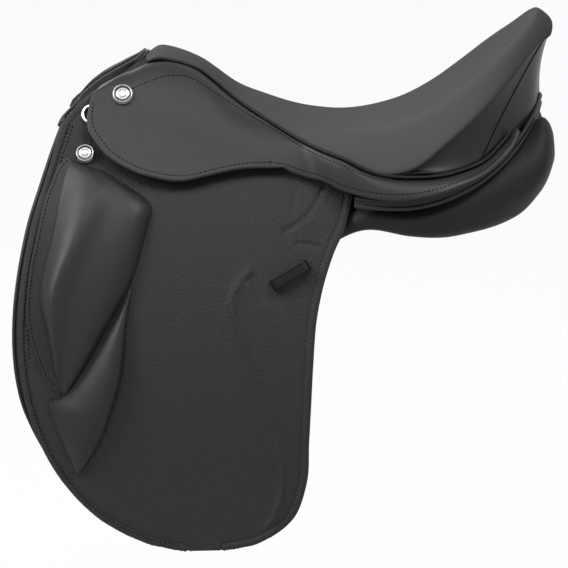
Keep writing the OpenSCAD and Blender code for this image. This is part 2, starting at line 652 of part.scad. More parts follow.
module bar_catch() color(steel) {
    mid = (bar_in + bar_out) / 2;
    way = (bar_rear - bar_front) / norm(bar_rear - bar_front);
    upright(mid - catch_t / 2, mid + catch_t / 2) difference() {
        union() {
            translate(bar_rear) circle(d = bar_h - 1.5);
            slat(bar_rear, bar_rear + catch_l * way, bar_h / 2);
        }
        translate(bar_rear) circle(d = catch_pin_d + 2 * pin_fit);
    }
}

// A round stud with a rolled rim and a low crowned face
module stud(d, h) rotate_extrude() polygon([
    [0, 0], [d / 2, 0], [d / 2, h * 0.45], [d / 2 - 0.8, h * 0.85], [d / 2 - 2, h], [d / 2 - 3, h * 0.8],
    [d / 2 - 3.6, h * 0.72], [d / 4, h * 0.9], [0, h]]);
stud_h = 3.6;
stud_place = [2.3, 0.82];
function skirt_point(s, t) =
    let (k = 40, c = skirt_column(s, k), i = floor(t * k)) c[i];
module pommel_stud() color(steel) {
    p = skirt_point(stud_place[0], stud_place[1]);
    u = skirt_point(stud_place[0] + 0.1, stud_place[1]) - p;
    v = skirt_point(stud_place[0], stud_place[1] + 0.05) - p;
    n = unit(cross(u, v));
    face = n[1] < 0 ? n : -n;
    translate(p + face * 0.5) rotate([0, acos(face[2]), atan2(face[1], face[0])]) stud(stud_d, stud_h);
}

// Pieces on the flap

module flap() color(leather)
    between(side_grid(flap_front, flap_rear, 24, 9, flap_o + flap_t),
        side_grid(flap_front, flap_rear, 24, 9, flap_o));

// A pad on the flap between a front and a rear edge, with its height as a function of place
pad_edge = 0.6;
module pad(front, rear, rows, cols, height) {
    base = side_grid(front, rear, rows, cols, seat_o);
    top = [for (i = [0:rows]) [for (j = [0:cols])
        base[i][j] - [0, pad_edge + height(i / rows, j / cols), 0]]];
    between(top, base);
}
module block_strip() color(leather)
    pad(strip_front, [for (p = block_front) p - [1, 0]], 12, 2, function (t, s) strip_t - pad_edge);
// The ridge of the block stands at this part of its width
block_ridge = 0.24;
module thigh_block() color(leather)
    pad(block_front, block_rear, 16, 10, function (t, s)
        block_h * pow(sin(180 * pow(t, 0.8)), 0.6)
            * (s < block_ridge ? sin(90 * s / block_ridge) : pow((1 - s) / (1 - block_ridge), 1.6)));
module thigh_wedge() color(leather)
    pad(wedge_front, wedge_rear, 14, 6, function (t, s)
        wedge_h * pow(sin(180 * pow(t, 1.3)), 0.7) * pow(sin(180 * s), 0.6));

block_stud_at = [-247, 61.5];
module block_stud() color(steel)
    seat_on_side(block_stud_at[0], block_stud_at[1], seat_o) stud(block_stud_d, stud_h);

keeper_at = [-41.5, -50.5];
keeper_turn = 31;
keeper_leg = 4;
module keeper() color(dark_leather) seat_on_side(keeper_at[0], keeper_at[1], seat_o) rotate(keeper_turn)
    translate([0, keeper_w / 2, 0]) rotate([90, 0, 0]) linear_extrude(keeper_w) difference() {
        translate([-keeper_l / 2, 0]) square([keeper_l, keeper_gap + keeper_t]);
        translate([keeper_leg - keeper_l / 2, -1]) square([keeper_l - 2 * keeper_leg, keeper_gap + 1]);
    }

// Dee on a leather chape that turns on a rivet
dee_at = [-217, 101];
dee_turn = 189;
chape_l = 9;
chape_w = 11;
rivet_r = 2.2;
dee_r = 9;
dee_mid = chape_t / 2;
module on_dee() seat_on_side(dee_at[0], dee_at[1], seat_o) rotate(dee_turn) children();
module dee_rivet() color(steel) on_dee() cylinder(r = rivet_r, h = chape_t);
module dee_chape() color(leather) on_dee() difference() {
    linear_extrude(chape_t) {
        translate([0, -chape_w / 2]) square([chape_l, chape_w]);
        circle(d = chape_w);
        translate([chape_l, -chape_w / 2]) square([dee_wire, chape_w]);
    }
    translate([0, 0, -1]) cylinder(r = rivet_r + pin_fit, h = chape_t + 2);
    translate([chape_l, 0, dee_mid]) rotate([90, 0, 0])
        cylinder(d = dee_wire + 0.1, h = chape_w + 2, center = true);
}
// Middle line of the dee's wire: a straight bar, two bent corners and a round bow
dee_side = dee_l - dee_r - dee_wire;
dee_bend = 2.6;
dee_line = concat(
    [for (f = [0:30:90]) [dee_bend * (1 - cos(f)), dee_r - dee_bend * (1 - sin(f))]],
    [for (f = [90:-15:-90]) [dee_side + dee_r * cos(f), dee_r * sin(f)]],
    [for (f = [90:-30:0]) [dee_bend * (1 - cos(f)), dee_bend * (1 - sin(f)) - dee_r]]);
dee_sides = 8;
module dee() color(steel) on_dee() translate([chape_l, 0, dee_mid]) {
    n = len(dee_line);
    loop_body([for (i = [0:n - 1])
        let (t = dee_line[(i + 1) % n] - dee_line[(i + n - 1) % n], s = unit([t[1], -t[0]]))
        [for (k = [0:dee_sides - 1]) let (f = 360 * k / dee_sides, p = dee_line[i] + s * cos(f) * dee_wire / 2)
            [p[0], p[1], sin(f) * dee_wire / 2]]]);
}

module skirt_lobe() color(leather) {
    cols = 20;
    steps = 5;
    place = function (o) [for (i = [0:cols])
        let (x = mix(fold_front[0] + 2, lobe_rear_x, i / cols), a = [x, fold_z(x) - fold_gap])
        let (b = spline(lobe_low, (len(lobe_low) - 1) * i / cols))
        [for (k = [0:steps]) let (p = mix(a, b, k / steps)) on_side(p[0], p[1], o)]];
    between(place(skirt_out), place(skirt_o));
}

// Girth strap with a row of buckle holes, hanging straight down from its stitching
strap_low_z = hole_low_z - 18;
strap_taper = 9;
strap_tip = 10;
module girth_strap(x) color(dark_leather) {
    steps = 16;
    heights = [for (i = [0:steps]) mix(strap_low_z, strap_top_z, i / steps)];
    face = function (o) [for (z = heights) [-(side(z) + o), z]];
    outer = face(strap_o + strap_t);
    difference() {
        intersection() {
            translate([x - strap_w / 2, 0, 0]) rotate([90, 0, 90]) linear_extrude(strap_w)
                polygon(concat(face(strap_o), [for (i = [steps:-1:0]) outer[i]]));
            upright(0, 2 * foot_half_w) {
                translate([x, strap_pivot_z]) circle(d = strap_w);
                translate([x, strap_low_z]) polygon([[strap_tip / 2, 0], [strap_w / 2, strap_taper],
                    [strap_w / 2, strap_pivot_z - strap_low_z], [-strap_w / 2, strap_pivot_z - strap_low_z],
                    [-strap_w / 2, strap_taper], [-strap_tip / 2, 0]]);
            }
        }
        for (k = [0:hole_count - 1]) upright(0, 2 * foot_half_w)
            translate([x, hole_low_z + k * hole_pitch]) circle(d = hole_d);
    }
}

saddle_tree();
head_plate();
tree_rivets();
seat_web();
rear_girth_web();
seat_foam();
seat_cover();
pommel_facing();
cantle_back();
gullet_lining();
front_girth_web();  // near_front_girth_web
off_side() front_girth_web();  // off_front_girth_web
welt();  // near_welt
off_side() welt();  // off_welt
skirt();  // near_skirt
off_side() skirt();  // off_skirt
cantle_side();  // near_cantle_side
off_side() cantle_side();  // off_cantle_side
panel();  // near_panel
off_side() panel();  // off_panel
panel_band();  // near_panel_band
off_side() panel_band();  // off_panel_band
sweat_flap();  // near_sweat_flap
off_side() sweat_flap();  // off_sweat_flap
flap_top();  // near_flap_top
off_side() flap_top();  // off_flap_top
stirrup_bar();  // near_stirrup_bar
off_side() stirrup_bar();  // off_stirrup_bar
catch_pin();  // near_catch_pin
off_side() catch_pin();  // off_catch_pin
bar_catch();  // near_bar_catch
off_side() bar_catch();  // off_bar_catch
pommel_stud();  // near_pommel_stud
off_side() pommel_stud();  // off_pommel_stud
flap();  // near_flap
off_side() flap();  // off_flap
block_strip();  // near_block_strip
off_side() block_strip();  // off_block_strip
thigh_block();  // near_thigh_block
off_side() thigh_block();  // off_thigh_block
thigh_wedge();  // near_thigh_wedge
off_side() thigh_wedge();  // off_thigh_wedge
block_stud();  // near_block_stud
off_side() block_stud();  // off_block_stud
keeper();  // near_keeper
off_side() keeper();  // off_keeper
dee_rivet();  // near_dee_rivet
off_side() dee_rivet();  // off_dee_rivet
dee_chape();  // near_dee_chape
off_side() dee_chape();  // off_dee_chape
dee();  // near_dee
off_side() dee();  // off_dee
skirt_lobe();  // near_skirt_lobe
off_side() skirt_lobe();  // off_skirt_lobe
girth_strap(front_strap_x);  // near_front_strap
off_side() girth_strap(front_strap_x);  // off_front_strap
girth_strap(rear_strap_x);  // near_rear_strap
off_side() girth_strap(rear_strap_x);  // off_rear_strap
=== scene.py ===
"""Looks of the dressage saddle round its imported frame.

Shape functions work in millimetres on the near side, which lies at -Y.
"""

import bmesh
import bpy
import numpy as np
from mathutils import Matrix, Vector


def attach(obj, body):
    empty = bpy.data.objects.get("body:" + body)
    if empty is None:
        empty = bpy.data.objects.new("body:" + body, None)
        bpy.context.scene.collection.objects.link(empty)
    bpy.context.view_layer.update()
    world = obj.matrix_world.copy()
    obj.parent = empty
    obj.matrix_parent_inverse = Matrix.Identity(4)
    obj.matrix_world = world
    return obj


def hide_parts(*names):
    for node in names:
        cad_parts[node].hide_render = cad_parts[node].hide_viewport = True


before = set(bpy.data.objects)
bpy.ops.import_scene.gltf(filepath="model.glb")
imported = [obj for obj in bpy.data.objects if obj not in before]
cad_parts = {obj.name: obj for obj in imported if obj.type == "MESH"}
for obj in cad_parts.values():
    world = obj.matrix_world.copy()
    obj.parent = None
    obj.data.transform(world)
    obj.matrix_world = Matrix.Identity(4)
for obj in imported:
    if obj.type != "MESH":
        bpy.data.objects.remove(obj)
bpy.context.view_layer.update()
MM = 0.001

# Layers: distance of each face from the panel's side, level and outwards
SWEAT_OUT, FLAP_OUT, PAD_IN, SKIRT_OUT = 3.0, 14.0, 14.7, 24.02
# Thickness of the leathers
SKIRT_T, FLAP_T, SWEAT_T, SEAT_T, CANTLE_T = 3.4, 4.0, 3.0, 3.0, 3.0
FACING_T, CHEEK_T, LINING_T, STRIP_T = 3.4, 2.0, 2.5, 2.0
# Radii of the welt, the beads and the cord in the cantle's seam
WELT_R, BEAD_R, SEAM_R = 1.9, 2.3, 0.8
# Half width of the lining's roof, and depth of the skirt's rounded edge over half its thickness
LINING_HALF, EDGE_LIP = 26, 1.1
# Slope of the panels' sides above the knee
SIDE_SLOPE = 0.583
# A point and the slope of the straight fold of flap and skirt
FOLD_X, FOLD_Z, FOLD_SLOPE = -241, 120, 0.36
# Start and length of the lobe
LOBE_X, LOBE_LENGTH = -239, 189
# Gap at each side of the cantle's seam, as a count along its lines
SEAM_GAP = 0.02
# Studs: height, radii, and the pommel's place as a count along the skirt and a part of the way down it
STUD_H, POMMEL_STUD_R, BLOCK_STUD_R = 3.6, 10.5, 9.5
POMMEL_STUD = [2.3, 0.86]
# Fittings on the side: x and z, and the turn in degrees
BLOCK_STUD = [-247.0, 61.5]
KEEPER_AT, KEEPER_TURN = [-41.5, -50.5], 31
DEE_AT, DEE_TURN = [-217, 101], 189
# Distance in metres at which points of a piece are merged, and the angle past which an edge stays sharp
WELD, SHARP = 2e-6, np.radians(55)

SEAT_MID = [
    [-190, 0, 152], [-172, 0, 159], [-135, 0, 146], [-97, 0, 119], [-66, 0, 105], [-37, 0, 94],
    [-10, 0, 87], [20, 0, 81], [50, 0, 79], [80, 0, 81], [110, 0, 90], [138, 0, 108], [160, 0, 128],
    [178, 0, 148], [188, 0, 162], [193, 0, 170]]
SEAT_RIM = [
    [-189, -20, 151], [-172, -18, 158], [-135, -19, 145.5], [-97, -29, 118], [-66, -44, 103.5],
    [-37, -61, 92], [-12, -79, 85], [15, -95, 81], [45, -106, 83], [80, -111, 92], [113, -108, 109],
    [143, -98, 131], [170, -81, 153], [194, -56, 173], [210, -28, 190], [215, 0, 196]]
SEAT_EDGE = [
    [-187, -34, 147], [-171, -33, 151], [-134, -32, 140], [-96, -46, 112], [-66, -66, 95], [-37, -86, 80],
    [-14, -105, 71], [12, -121, 63], [45, -132, 50], [82, -133, 57], [118, -124, 84], [146, -111, 107],
    [173, -90, 132], [201, -58, 160], [220, -28, 174], [228, 0, 172]]
SKIRT_TOP = [
    [-232, -54, 126], [-214, -48, 135], [-199, -42, 140.5], [-185, -39, 146], [-171, -38, 147.5],
    [-156, -37, 145.5], [-134, -37.5, 137], [-96, -51, 108.5], [-66, -71, 91], [-37, -91, 76],
    [-14, -110, 67], [11, -126, 59], [28, -132.5, 51], [48, -137, 45], [72, -138.5, 42.5], [98, -137, 43],
    [120, -131, 46], [150, -116, 55], [174, -94, 73], [184, -86, 86]]
SKIRT_FOLD_X = [-239, -231, -217, -202, -186, -167, -138, -104, -50]
SKIRT_LOW_REAR = [
    [-26, -113, 43], [-9, -121, 39.5], [8, -132, 33], [28, -142.5, 29], [48, -149.5, 27], [72, -152, 27],
    [98, -150, 31], [120, -143.5, 37], [150, -129, 48.5], [176, -105, 66], [188, -89, 84]]
LOBE_LOW = [
    [-242, 110], [-244, 96], [-242, 85], [-234, 74], [-222, 62], [-204, 52], [-184, 45], [-152, 40],
    [-118, 46], [-95, 50.3], [-72, 51.8], [-51, 51]]
FLAP_FRONT = [
    [-241, 119], [-268, 92], [-281, 52], [-294, 6], [-304, -40], [-309, -88], [-308, -135], [-298, -190],
    [-274, -245], [-236, -290], [-190, -317], [-150, -327]]
FLAP_REAR = [
    [20, 25.5], [13, -2], [0, -30], [-10, -60], [-17, -95], [-20, -135], [-22, -175], [-24, -215],
    [-26, -255], [-40, -294], [-72, -318], [-105, -326]]
SWEAT_FRONT = [
    [-270, 92], [-281, 62], [-292, 28], [-303, -9], [-312, -60], [-315.5, -105], [-313, -150], [-303, -190],
    [-278, -236], [-235, -272], [-190, -286]]
SWEAT_REAR = [
    [-4, -44], [-9, -60], [-14, -80], [-18, -105], [-22, -130], [-25, -155], [-28, -180], [-32, -210],
    [-40, -245], [-70, -275], [-120, -287]]
BLOCK_FRONT = [
    [-261, 55], [-266, 42], [-270, 22], [-278, -18], [-285, -45], [-288, -64], [-287, -82], [-283, -100],
    [-279, -120], [-275, -142], [-268, -162]]
BLOCK_REAR = [
    [-228, 46], [-190, 24], [-180, 12], [-183, -4], [-190, -30], [-198, -55], [-211, -80], [-225, -105],
    [-239, -130], [-252, -150], [-264, -166]]
STRIP_FRONT = [
    [-265, 59], [-273, 50], [-280, 34], [-286, 17], [-292, -12], [-298, -42], [-301, -70], [-300.5, -96],
    [-294, -122], [-286, -144], [-275, -160]]
WEDGE_FRONT = [
    [-200.5, -62], [-212, -83], [-226, -107.5], [-240, -132.5], [-253, -152.5], [-266, -167], [-282, -174],
    [-275, -194], [-265, -219], [-255.5, -243]]
WEDGE_REAR = [
    [-198.5, -64], [-202, -86], [-204, -108], [-206, -132], [-210, -156], [-217, -180], [-226, -204],
    [-236, -224], [-245, -238], [-252, -246.5]]
# Stations of a panel: x, y and z of its inner end, y and z of its outer end, half its thickness
PANEL_ROWS = [
    [-266, 53, 87, 66, 58, 5], [-258, 46, 94.5, 82, 30, 13], [-236, 40, 98.5, 109, -30, 20],
    [-200, 39, 88, 129, -74, 22], [-150, 43, 78, 135, -86, 22], [-100, 49, 60, 134, -80, 21.5],
    [-50, 54, 40, 126, -56, 20.5], [0, 58, 25, 119, -22, 16], [35, 58, 17, 129, -3, 15],
    [77, 57, 13, 136, -6, 18], [110, 54, 19, 133, -5, 24], [140, 50, 30, 124, 0, 29],
    [170, 43, 44.5, 108, 4, 33], [195, 34.5, 61, 89, 10, 35], [213, 29.5, 82, 76, 24, 34],
    [222, 31, 79, 66, 36, 28], [228, 36, 68, 56, 50, 14]]
WELT = [
    [-187, -36.8, 147], [-171, -35.6, 149.6], [-134, -35, 138.8], [-96, -48.7, 110.6], [-66, -68.7, 93.3],
    [-37, -88.7, 78.3], [-14, -107.7, 69.3], [12, -123.8, 61.2], [30, -130, 53.2], [47, -134.8, 47.8],
    [72, -136.6, 45.3], [98, -135, 45.8], [120, -129, 48.6], [150, -114, 57.6], [171, -94, 73.6],
    [178, -88, 81]]
CANTLE_TOP = [
    [72, -131, 49.5], [84, -130, 56], [118, -121.5, 81.5], [146, -108.5, 104.5], [172, -88, 129],
    [199, -56.5, 157], [217.4, -28, 171.6], [225, 0, 169.8]]
CANTLE_LOW = [
    [70, -132, 48.5], [92, -130.5, 49.5], [120, -124.5, 52], [148, -110, 60.5], [170, -90.5, 76],
    [191, -67, 90], [208.5, -38, 103], [217.5, 0, 113]]
LINING = [
    [-197, 113], [-185, 114.6], [-165, 112], [-140, 99], [-110, 86], [-80, 76], [-30, 54.5], [20, 39.5],
    [70, 36.5], [120, 51], [165, 86], [183, 103], [194, 114]]
BAND = [
    [22, -134, 20.8], [47, -139, 19.3], [77, -141, 19.8], [107, -138, 25.8], [139, -127, 38.3],
    [167, -106, 54.8], [190, -78, 73.6], [207, -44, 92], [216, -12, 104], [217, -2, 105.5]]
FACING_OUTER = [
    [-274, -66, 89], [-270, -59, 97], [-263, -50, 103.5], [-254, -41, 113.5], [-237, -32, 127],
    [-218, -27, 138], [-200, -21, 148.5], [-193.6, -10, 154], [-192.8, 0, 155]]
FACING_INNER = [
    [-272, -64, 84], [-267.5, -57.5, 91], [-259, -53, 92], [-248, -49, 95], [-233, -42, 99],
    [-218, -35, 105], [-208, -27, 110], [-203, -15, 113], [-202, 0, 114]]
CHEEK_START = [-242, -62, 117]

# Pressed lines on the flap, as x and z
RIDGE = [
    [-82, -46], [-95, -60], [-100, -73], [-98, -88], [-87, -117], [-75, -147], [-60, -187], [-53, -222],
    [-50, -256], [-53, -273], [-59, -292], [-64, -300]]
POCKET = [[-82, -58], [-71, -77], [-56, -78], [-44, -88], [-27, -118]]
CREASE_STRONG = [[-7, 31], [-22, 7], [-34, -3], [-48, -10]]
CREASE_FAINT = [[-35, 31], [-38, 18], [-39, 7]]
CREASE_LOW = [[-34, -21], [-24, -22], [-14, -24]]

# Stitch lines on the skirt, as counts along it and parts of the way down it
STITCH_HIGH = [
    [2.7, 0.75], [3.74, 0.6], [4.73, 0.45], [5.54, 0.36], [6.17, 0.34], [7.06, 0.22], [7.86, 0.29],
    [8.85, 0.33], [9.92, 0.33], [11.95, 0.25], [13.8, 0.16], [15.6, 0.14]]


def spline(points, s):
    """Catmull-Rom curve: each span is the cubic through two points whose slopes are half the way between
    their neighbours, and the ends run straight on. s counts points from 0."""
    p = np.asarray(points, float)
    p = np.concatenate([[2 * p[0] - p[1]], p, [2 * p[-1] - p[-2]]])
    s = np.clip(np.asarray(s, float), 0, len(points) - 1)
    i = np.minimum(s.astype(int), len(points) - 2)
    a, b, c, d = p[i], p[i + 1], p[i + 2], p[i + 3]
    t = (s - i).reshape(s.shape + (1,) * (a.ndim - s.ndim))
    square, cube = 2 * a - 5 * b + 4 * c - d, 3 * b - a - 3 * c + d
    return 0.5 * (2 * b + (c - a) * t + square * t ** 2 + cube * t ** 3)


def along(points, count):
    """The smooth curve through the points, at count places even in its parameter."""
    return spline(points, np.linspace(0, len(points) - 1, count))


def running(path):
    """Length along a path from its start to each of its points."""
    return np.concatenate([[0], np.cumsum(np.linalg.norm(np.diff(path, axis=0), axis=1))])


def at_length(want, run, values):
    """Values given along a running length, read between their neighbours at the lengths wanted."""
    return np.stack([np.interp(want, run, values[:, k]) for k in range(values.shape[1])], -1)


def even(path, step):
    """Points at even distances along a path, found from its running length, about one step apart."""
    run = running(path)
    return at_length(np.linspace(0, run[-1], max(int(run[-1] / step), 2)), run, path)


def unit(v):
    """Vectors scaled to length one."""
    return v / np.maximum(np.linalg.norm(v, axis=-1, keepdims=True), 1e-9)


def side(z):
    """Half width of the panels at a height: a straight slope above the knee, a cubic down to the foot, and
    upright below."""
    knee, foot, knee_half, foot_half = 17.0, -230.0, 105.0, 165.0
    drop = knee - foot
    t = np.clip((knee - z) / drop, 0, 1)
    curve = (knee_half * (1 - 3 * t ** 2 + 2 * t ** 3) + SIDE_SLOPE * drop * (t - 2 * t ** 2 + t ** 3)
             + foot_half * (3 * t ** 2 - 2 * t ** 3))
    return np.where(z >= knee, knee_half - SIDE_SLOPE * (z - knee), curve)


def on_side(xz, out):
    """Points of the near side above x and z, a distance outside the panel."""
    return np.stack([xz[..., 0], -(side(xz[..., 1]) + out), xz[..., 1]], -1)


def fold_z(x):
    """Height of the straight fold of flap and skirt at x."""
    return FOLD_Z - FOLD_SLOPE * (x - FOLD_X)


def distance(xz, path):
    """Distance of grid points from the nearest of the close points of a path."""
    return np.sqrt(((xz[..., None, :] - path) ** 2).sum(-1)).min(-1)


def hump(d, width):
    """A rounded bump across a line: one on the line, a bell curve away from it."""
    return np.exp(-(d / width) ** 2)


def quads(index):
    """Faces between the neighbours of a grid of point numbers."""
    return np.stack([index[:-1, :-1], index[:-1, 1:], index[1:, 1:], index[1:, :-1]], -1).reshape(-1, 4)


def grid_faces(m, n):
    """Quads of a grid of m by n points."""
    return quads(np.arange(m * n).reshape(m, n))


def ring_faces(m, n, closed=False):
    """Quads between each of m rings of n points and the next, and from the last to the first if closed."""
    i, j = np.meshgrid(np.arange(m if closed else m - 1), np.arange(n), indexing="ij")
    k, j2 = (i + 1) % m, (j + 1) % n
    return np.stack([i * n + j, i * n + j2, k * n + j2, k * n + j], -1).reshape(-1, 4)


def whole(half, axis=0):
    """A line or grid that ends on the mid plane, with its mirror image joined on there."""
    mirror = np.flip(half * [1, -1, 1], axis)
    return np.concatenate([half, np.delete(mirror, 0, axis)], axis)


def rim_loop(m, n):
    """Indices round the border of a grid of m by n points."""
    g = np.arange(m * n).reshape(m, n)
    return np.concatenate([g[0, :-1], g[:-1, -1], g[-1, :0:-1], g[:0:-1, 0]])


def skin_normals(points, faces, toward):
    """Normals of the points from the cross products of their faces' diagonals, turned to the side of a
    direction."""
    q = points[faces]
    face_normal = np.cross(q[:, 2] - q[:, 0], q[:, 3] - q[:, 1])
    normal = np.zeros_like(points)
    np.add.at(normal, faces.ravel(), np.repeat(face_normal, 4, axis=0))
    normal = unit(normal)
    return normal if (normal @ np.asarray(toward, float)).sum() > 0 else -normal


def shell(points, faces, loop, thick, toward, lip=0.8, steps=6):
    """A sheet: the outer skin, the skin moved in along its normals by the thickness, and a half ellipse
    swept round the border between the two. lip is its depth over half the thickness, for each border point
    or for all."""
    normal = skin_normals(points, faces, toward)
    inner = points - normal * thick
    edge, back = points[loop], inner[loop]
    out = unit(np.cross(np.roll(edge, -1, 0) - np.roll(edge, 1, 0), normal[loop]))
    out = out if (out * (edge - points.mean(0))).sum() > 0 else -out
    angle = np.linspace(0, np.pi, steps + 1)[1:-1, None, None]
    reach = np.broadcast_to(np.asarray(lip, float), (len(loop),))[:, None] * thick / 2
    rings = (edge + back) / 2 + (edge - back) / 2 * np.cos(angle) + out * reach * np.sin(angle)
    count, size = len(points), len(loop)
    between = 2 * count + np.arange((steps - 1) * size).reshape(steps - 1, size)
    rows = np.concatenate([[loop], between, [loop + count]])
    after = np.roll(rows, -1, axis=1)
    walls = np.stack([rows[:-1], rows[1:], after[1:], after[:-1]], -1).reshape(-1, 4)
    skins = np.concatenate([points, inner, rings.reshape(-1, 3)])
    return skins, np.concatenate([faces, faces[:, ::-1] + count, walls])


def sheet(grid, thick, toward, lip=0.8):
    """A sheet over a grid of points, with a rounded edge."""
    m, n = grid.shape[:2]
    return shell(grid.reshape(-1, 3), grid_faces(m, n), rim_loop(m, n), thick, toward, lip)


def swept(path, profile, closed=False, up=(0, 0, 1)):
    """A profile carried along a path: its first number goes across the path and level, its second upwards.
    A closed path returns to its start, an open one gets its ends drawn to a point."""
    if closed:
        way = unit(np.roll(path, -1, 0) - np.roll(path, 1, 0))
    else:
        way = unit(np.gradient(path, axis=0))
    across = unit(np.cross(way, np.asarray(up, float)))
    rise = np.cross(across, way)
    profile = np.broadcast_to(profile, (len(path),) + np.shape(profile)[-2:])
    rings = path[:, None] + across[:, None] * profile[..., :1] + rise[:, None] * profile[..., 1:]
    count = profile.shape[1]
    if not closed:
        first, last = (np.repeat(end[:, None], count, 1) for end in (path[:1], path[-1:]))
        rings = np.concatenate([first, rings, last])
    return rings.reshape(-1, 3), ring_faces(len(rings), count, closed)


def oval(across, upright, count=12):
    """Points of an ellipse."""
    f = np.linspace(0, 2 * np.pi, count, endpoint=False)
    return np.stack([across * np.cos(f), upright * np.sin(f)], -1)


def piping(path, radius, count=10):
    """A round cord along a path."""
    return swept(path, oval(radius, radius, count))


def joined(*parts):
    """Several meshes as one."""
    base = np.cumsum([0] + [len(v) for v, _ in parts[:-1]])
    return np.concatenate([v for v, _ in parts]), np.concatenate([f + b for (_, f), b in zip(parts, base)])


def stitches(path, normal, length=3.0, gap=1.3, radius=0.5):
    """A row of stitches: the same short rounded thread, a few rings drawn to points, at even steps along a
    path, with its lower side sunk in the surface whose normals are given."""
    run = running(path)
    at = np.arange(length, run[-1] - length, length + gap)
    place = at_length(at, run, path)
    way = unit(at_length(at + 0.5, run, path) - place)
    up = unit(at_length(at, run, normal))
    across = np.cross(way, up)
    place_in = np.array([-1, -0.75, 0, 0.75, 1]) * length / 2
    girth = np.array([0.05, 0.8, 1, 0.8, 0.05]) * radius
    sides = 6
    f = np.linspace(0, 2 * np.pi, sides, endpoint=False)
    local = np.stack([np.repeat(place_in, sides), np.outer(girth, np.cos(f)).ravel(),
                      np.outer(girth, np.sin(f)).ravel()], -1)
    points = (place[:, None] + way[:, None] * local[None, :, :1] + across[:, None] * local[None, :, 1:2]
              + up[:, None] * (local[None, :, 2:] + 0.25 * radius))
    first = np.arange(len(at))[:, None, None] * len(local)
    return points.reshape(-1, 3), (first + ring_faces(len(girth), sides)).reshape(-1, 4)


def row_on(place, a, b):
    """A path on a surface given as a function of two numbers, and its normals there from two short steps."""
    p = place(a, b)
    n = unit(np.cross(place(a + 0.01, b) - place(a - 0.01, b), place(a, b + 0.01) - place(a, b - 0.01)))
    return p, np.where((n[:, 1] > 0)[:, None], -n, n)


def mirrored_end(points):
    """A line that ends on the mid plane, with its last but one point repeated beyond it, so that its curve
    crosses squarely."""
    x, y, z = points[-2]
    return list(points) + [[x, -y, z]]


def seat_skin(rows, cols):
    """The seat: across each station a smooth curve from a hem turned under, over the edge, the roll and the
    rim into the dish and to the mid line. Repeated means of neighbours across soften the rim. Both halves
    share the mid line and the tip. Gives points, faces and the border."""
    u = np.linspace(0, len(SEAT_MID) - 1, rows)
    mid, rim, edge = (spline(mirrored_end(line), u) for line in (SEAT_MID, SEAT_RIM, SEAT_EDGE))
    way = unit((edge - mid) * [1, 1, 0])
    up = np.array([0, 0, 1])
    tip = (u[:, None] / u[-1]) ** 8
    lift, waist = 5 * hump(u - 12.8, 2.4)[:, None], hump(u - 9.6, 3)[:, None]
    rim = rim + lift * up - waist * (11 * way - 2 * up)
    mid = mid + 0.35 * (rim - mid) * up
    part = 0.38 + 0.14 * tip
    drop = rim[:, 2:] - edge[:, 2:]
    dish = mid + (rim - mid) * np.concatenate([0 * part + 0.5, 0 * part + 0.5, part], 1)
    roll = (rim + edge) / 2 + (0.02 + 0.24 * tip) * drop * way + 0.07 * drop * up
    shoulder = 0.66 * rim + 0.34 * dish + 0.16 * (rim - dish) * up
    hem = edge - 7 * way - 8 * up
    across = np.stack([hem, edge, roll, rim, shoulder, dish, mid, dish * [1, -1, 1]])
    near = spline(across, np.linspace(0, 6, cols)).transpose(1, 0, 2)
    ease = hump(np.linspace(0, 6, cols)[1:-1] - 3, 1.1)[None, :, None]
    for _ in range(60):
        near[:, 1:-1] += ease * (0.25 * near[:, :-2] + 0.25 * near[:, 2:] - 0.5 * near[:, 1:-1])
    near[-1, :, 1] = 0
    near[:, -1, 1] = 0
    index = np.arange(rows * cols).reshape(rows, cols)
    other = rows * cols + np.arange((rows - 1) * (cols - 1)).reshape(rows - 1, cols - 1)
    off = index.copy()
    off[:-1, :-1] = other
    points = np.concatenate([near.reshape(-1, 3), (near[:-1, :-1] * [1, -1, 1]).reshape(-1, 3)])
    faces = np.concatenate([quads(index), quads(off)[:, ::-1]])
    loop = np.concatenate([index[:, 0], off[-2:0:-1, 0], off[0, :-1], index[0, :0:-1]])
    return points, faces, loop


SKIRT_FOLD = np.array([[x, fold_z(x)] for x in SKIRT_FOLD_X])
SKIRT_LOW = np.concatenate([on_side(SKIRT_FOLD, SKIRT_OUT), SKIRT_LOW_REAR])


def skirt_at(s, t):
    """Outer face of the skirt: from the welt line a quadratic curve over a bulging corner down to the lower
    line. The corner lies in the side's plane above the fold, and further back half way between the lines
    where that is further out."""
    top, low = spline(SKIRT_TOP, s), spline(SKIRT_LOW, s)
    z = top[..., 2] - 2
    plane, middle = side(z) + SKIRT_OUT, 1.5 - (top[..., 1] + low[..., 1]) / 2
    out = plane + np.clip((s - 7.5) / 2.5, 0, 1) * np.maximum(middle - plane, 0)
    corner = np.stack([(top[..., 0] + low[..., 0]) / 2, -out, z], -1)
    t = np.asarray(t)[..., None]
    return (1 - t) ** 2 * top + 2 * t * (1 - t) * corner + t ** 2 * low


def lobe_at(s, t):
    """Outer face of the lobe: straight lines on the side from the fold to the lower curve, bowed out by the
    square of the way down. s counts from 0 at the front to 1."""
    x = LOBE_X + LOBE_LENGTH * s
    fold = np.stack([x, fold_z(x)], -1)
    low = spline(LOBE_LOW, np.clip(s, 0, 1) * (len(LOBE_LOW) - 1))
    bow = 5 * (t * np.linalg.norm(low - fold, axis=-1) / 70) ** 2
    return on_side(fold + (low - fold) * np.asarray(t)[..., None], SKIRT_OUT + bow)


def cantle_at(u, v):
    """Face of the cantle's leathers: between the upper and the lower line, hollowed inwards by a parabola."""
    top, low = spline(CANTLE_TOP, u), spline(CANTLE_LOW, u)
    p = top + (low - top) * np.asarray(v)[..., None]
    return p - unit(p * [0.3, 1, 0]) * (12 * v * np.maximum(1 - v, 0))[..., None]


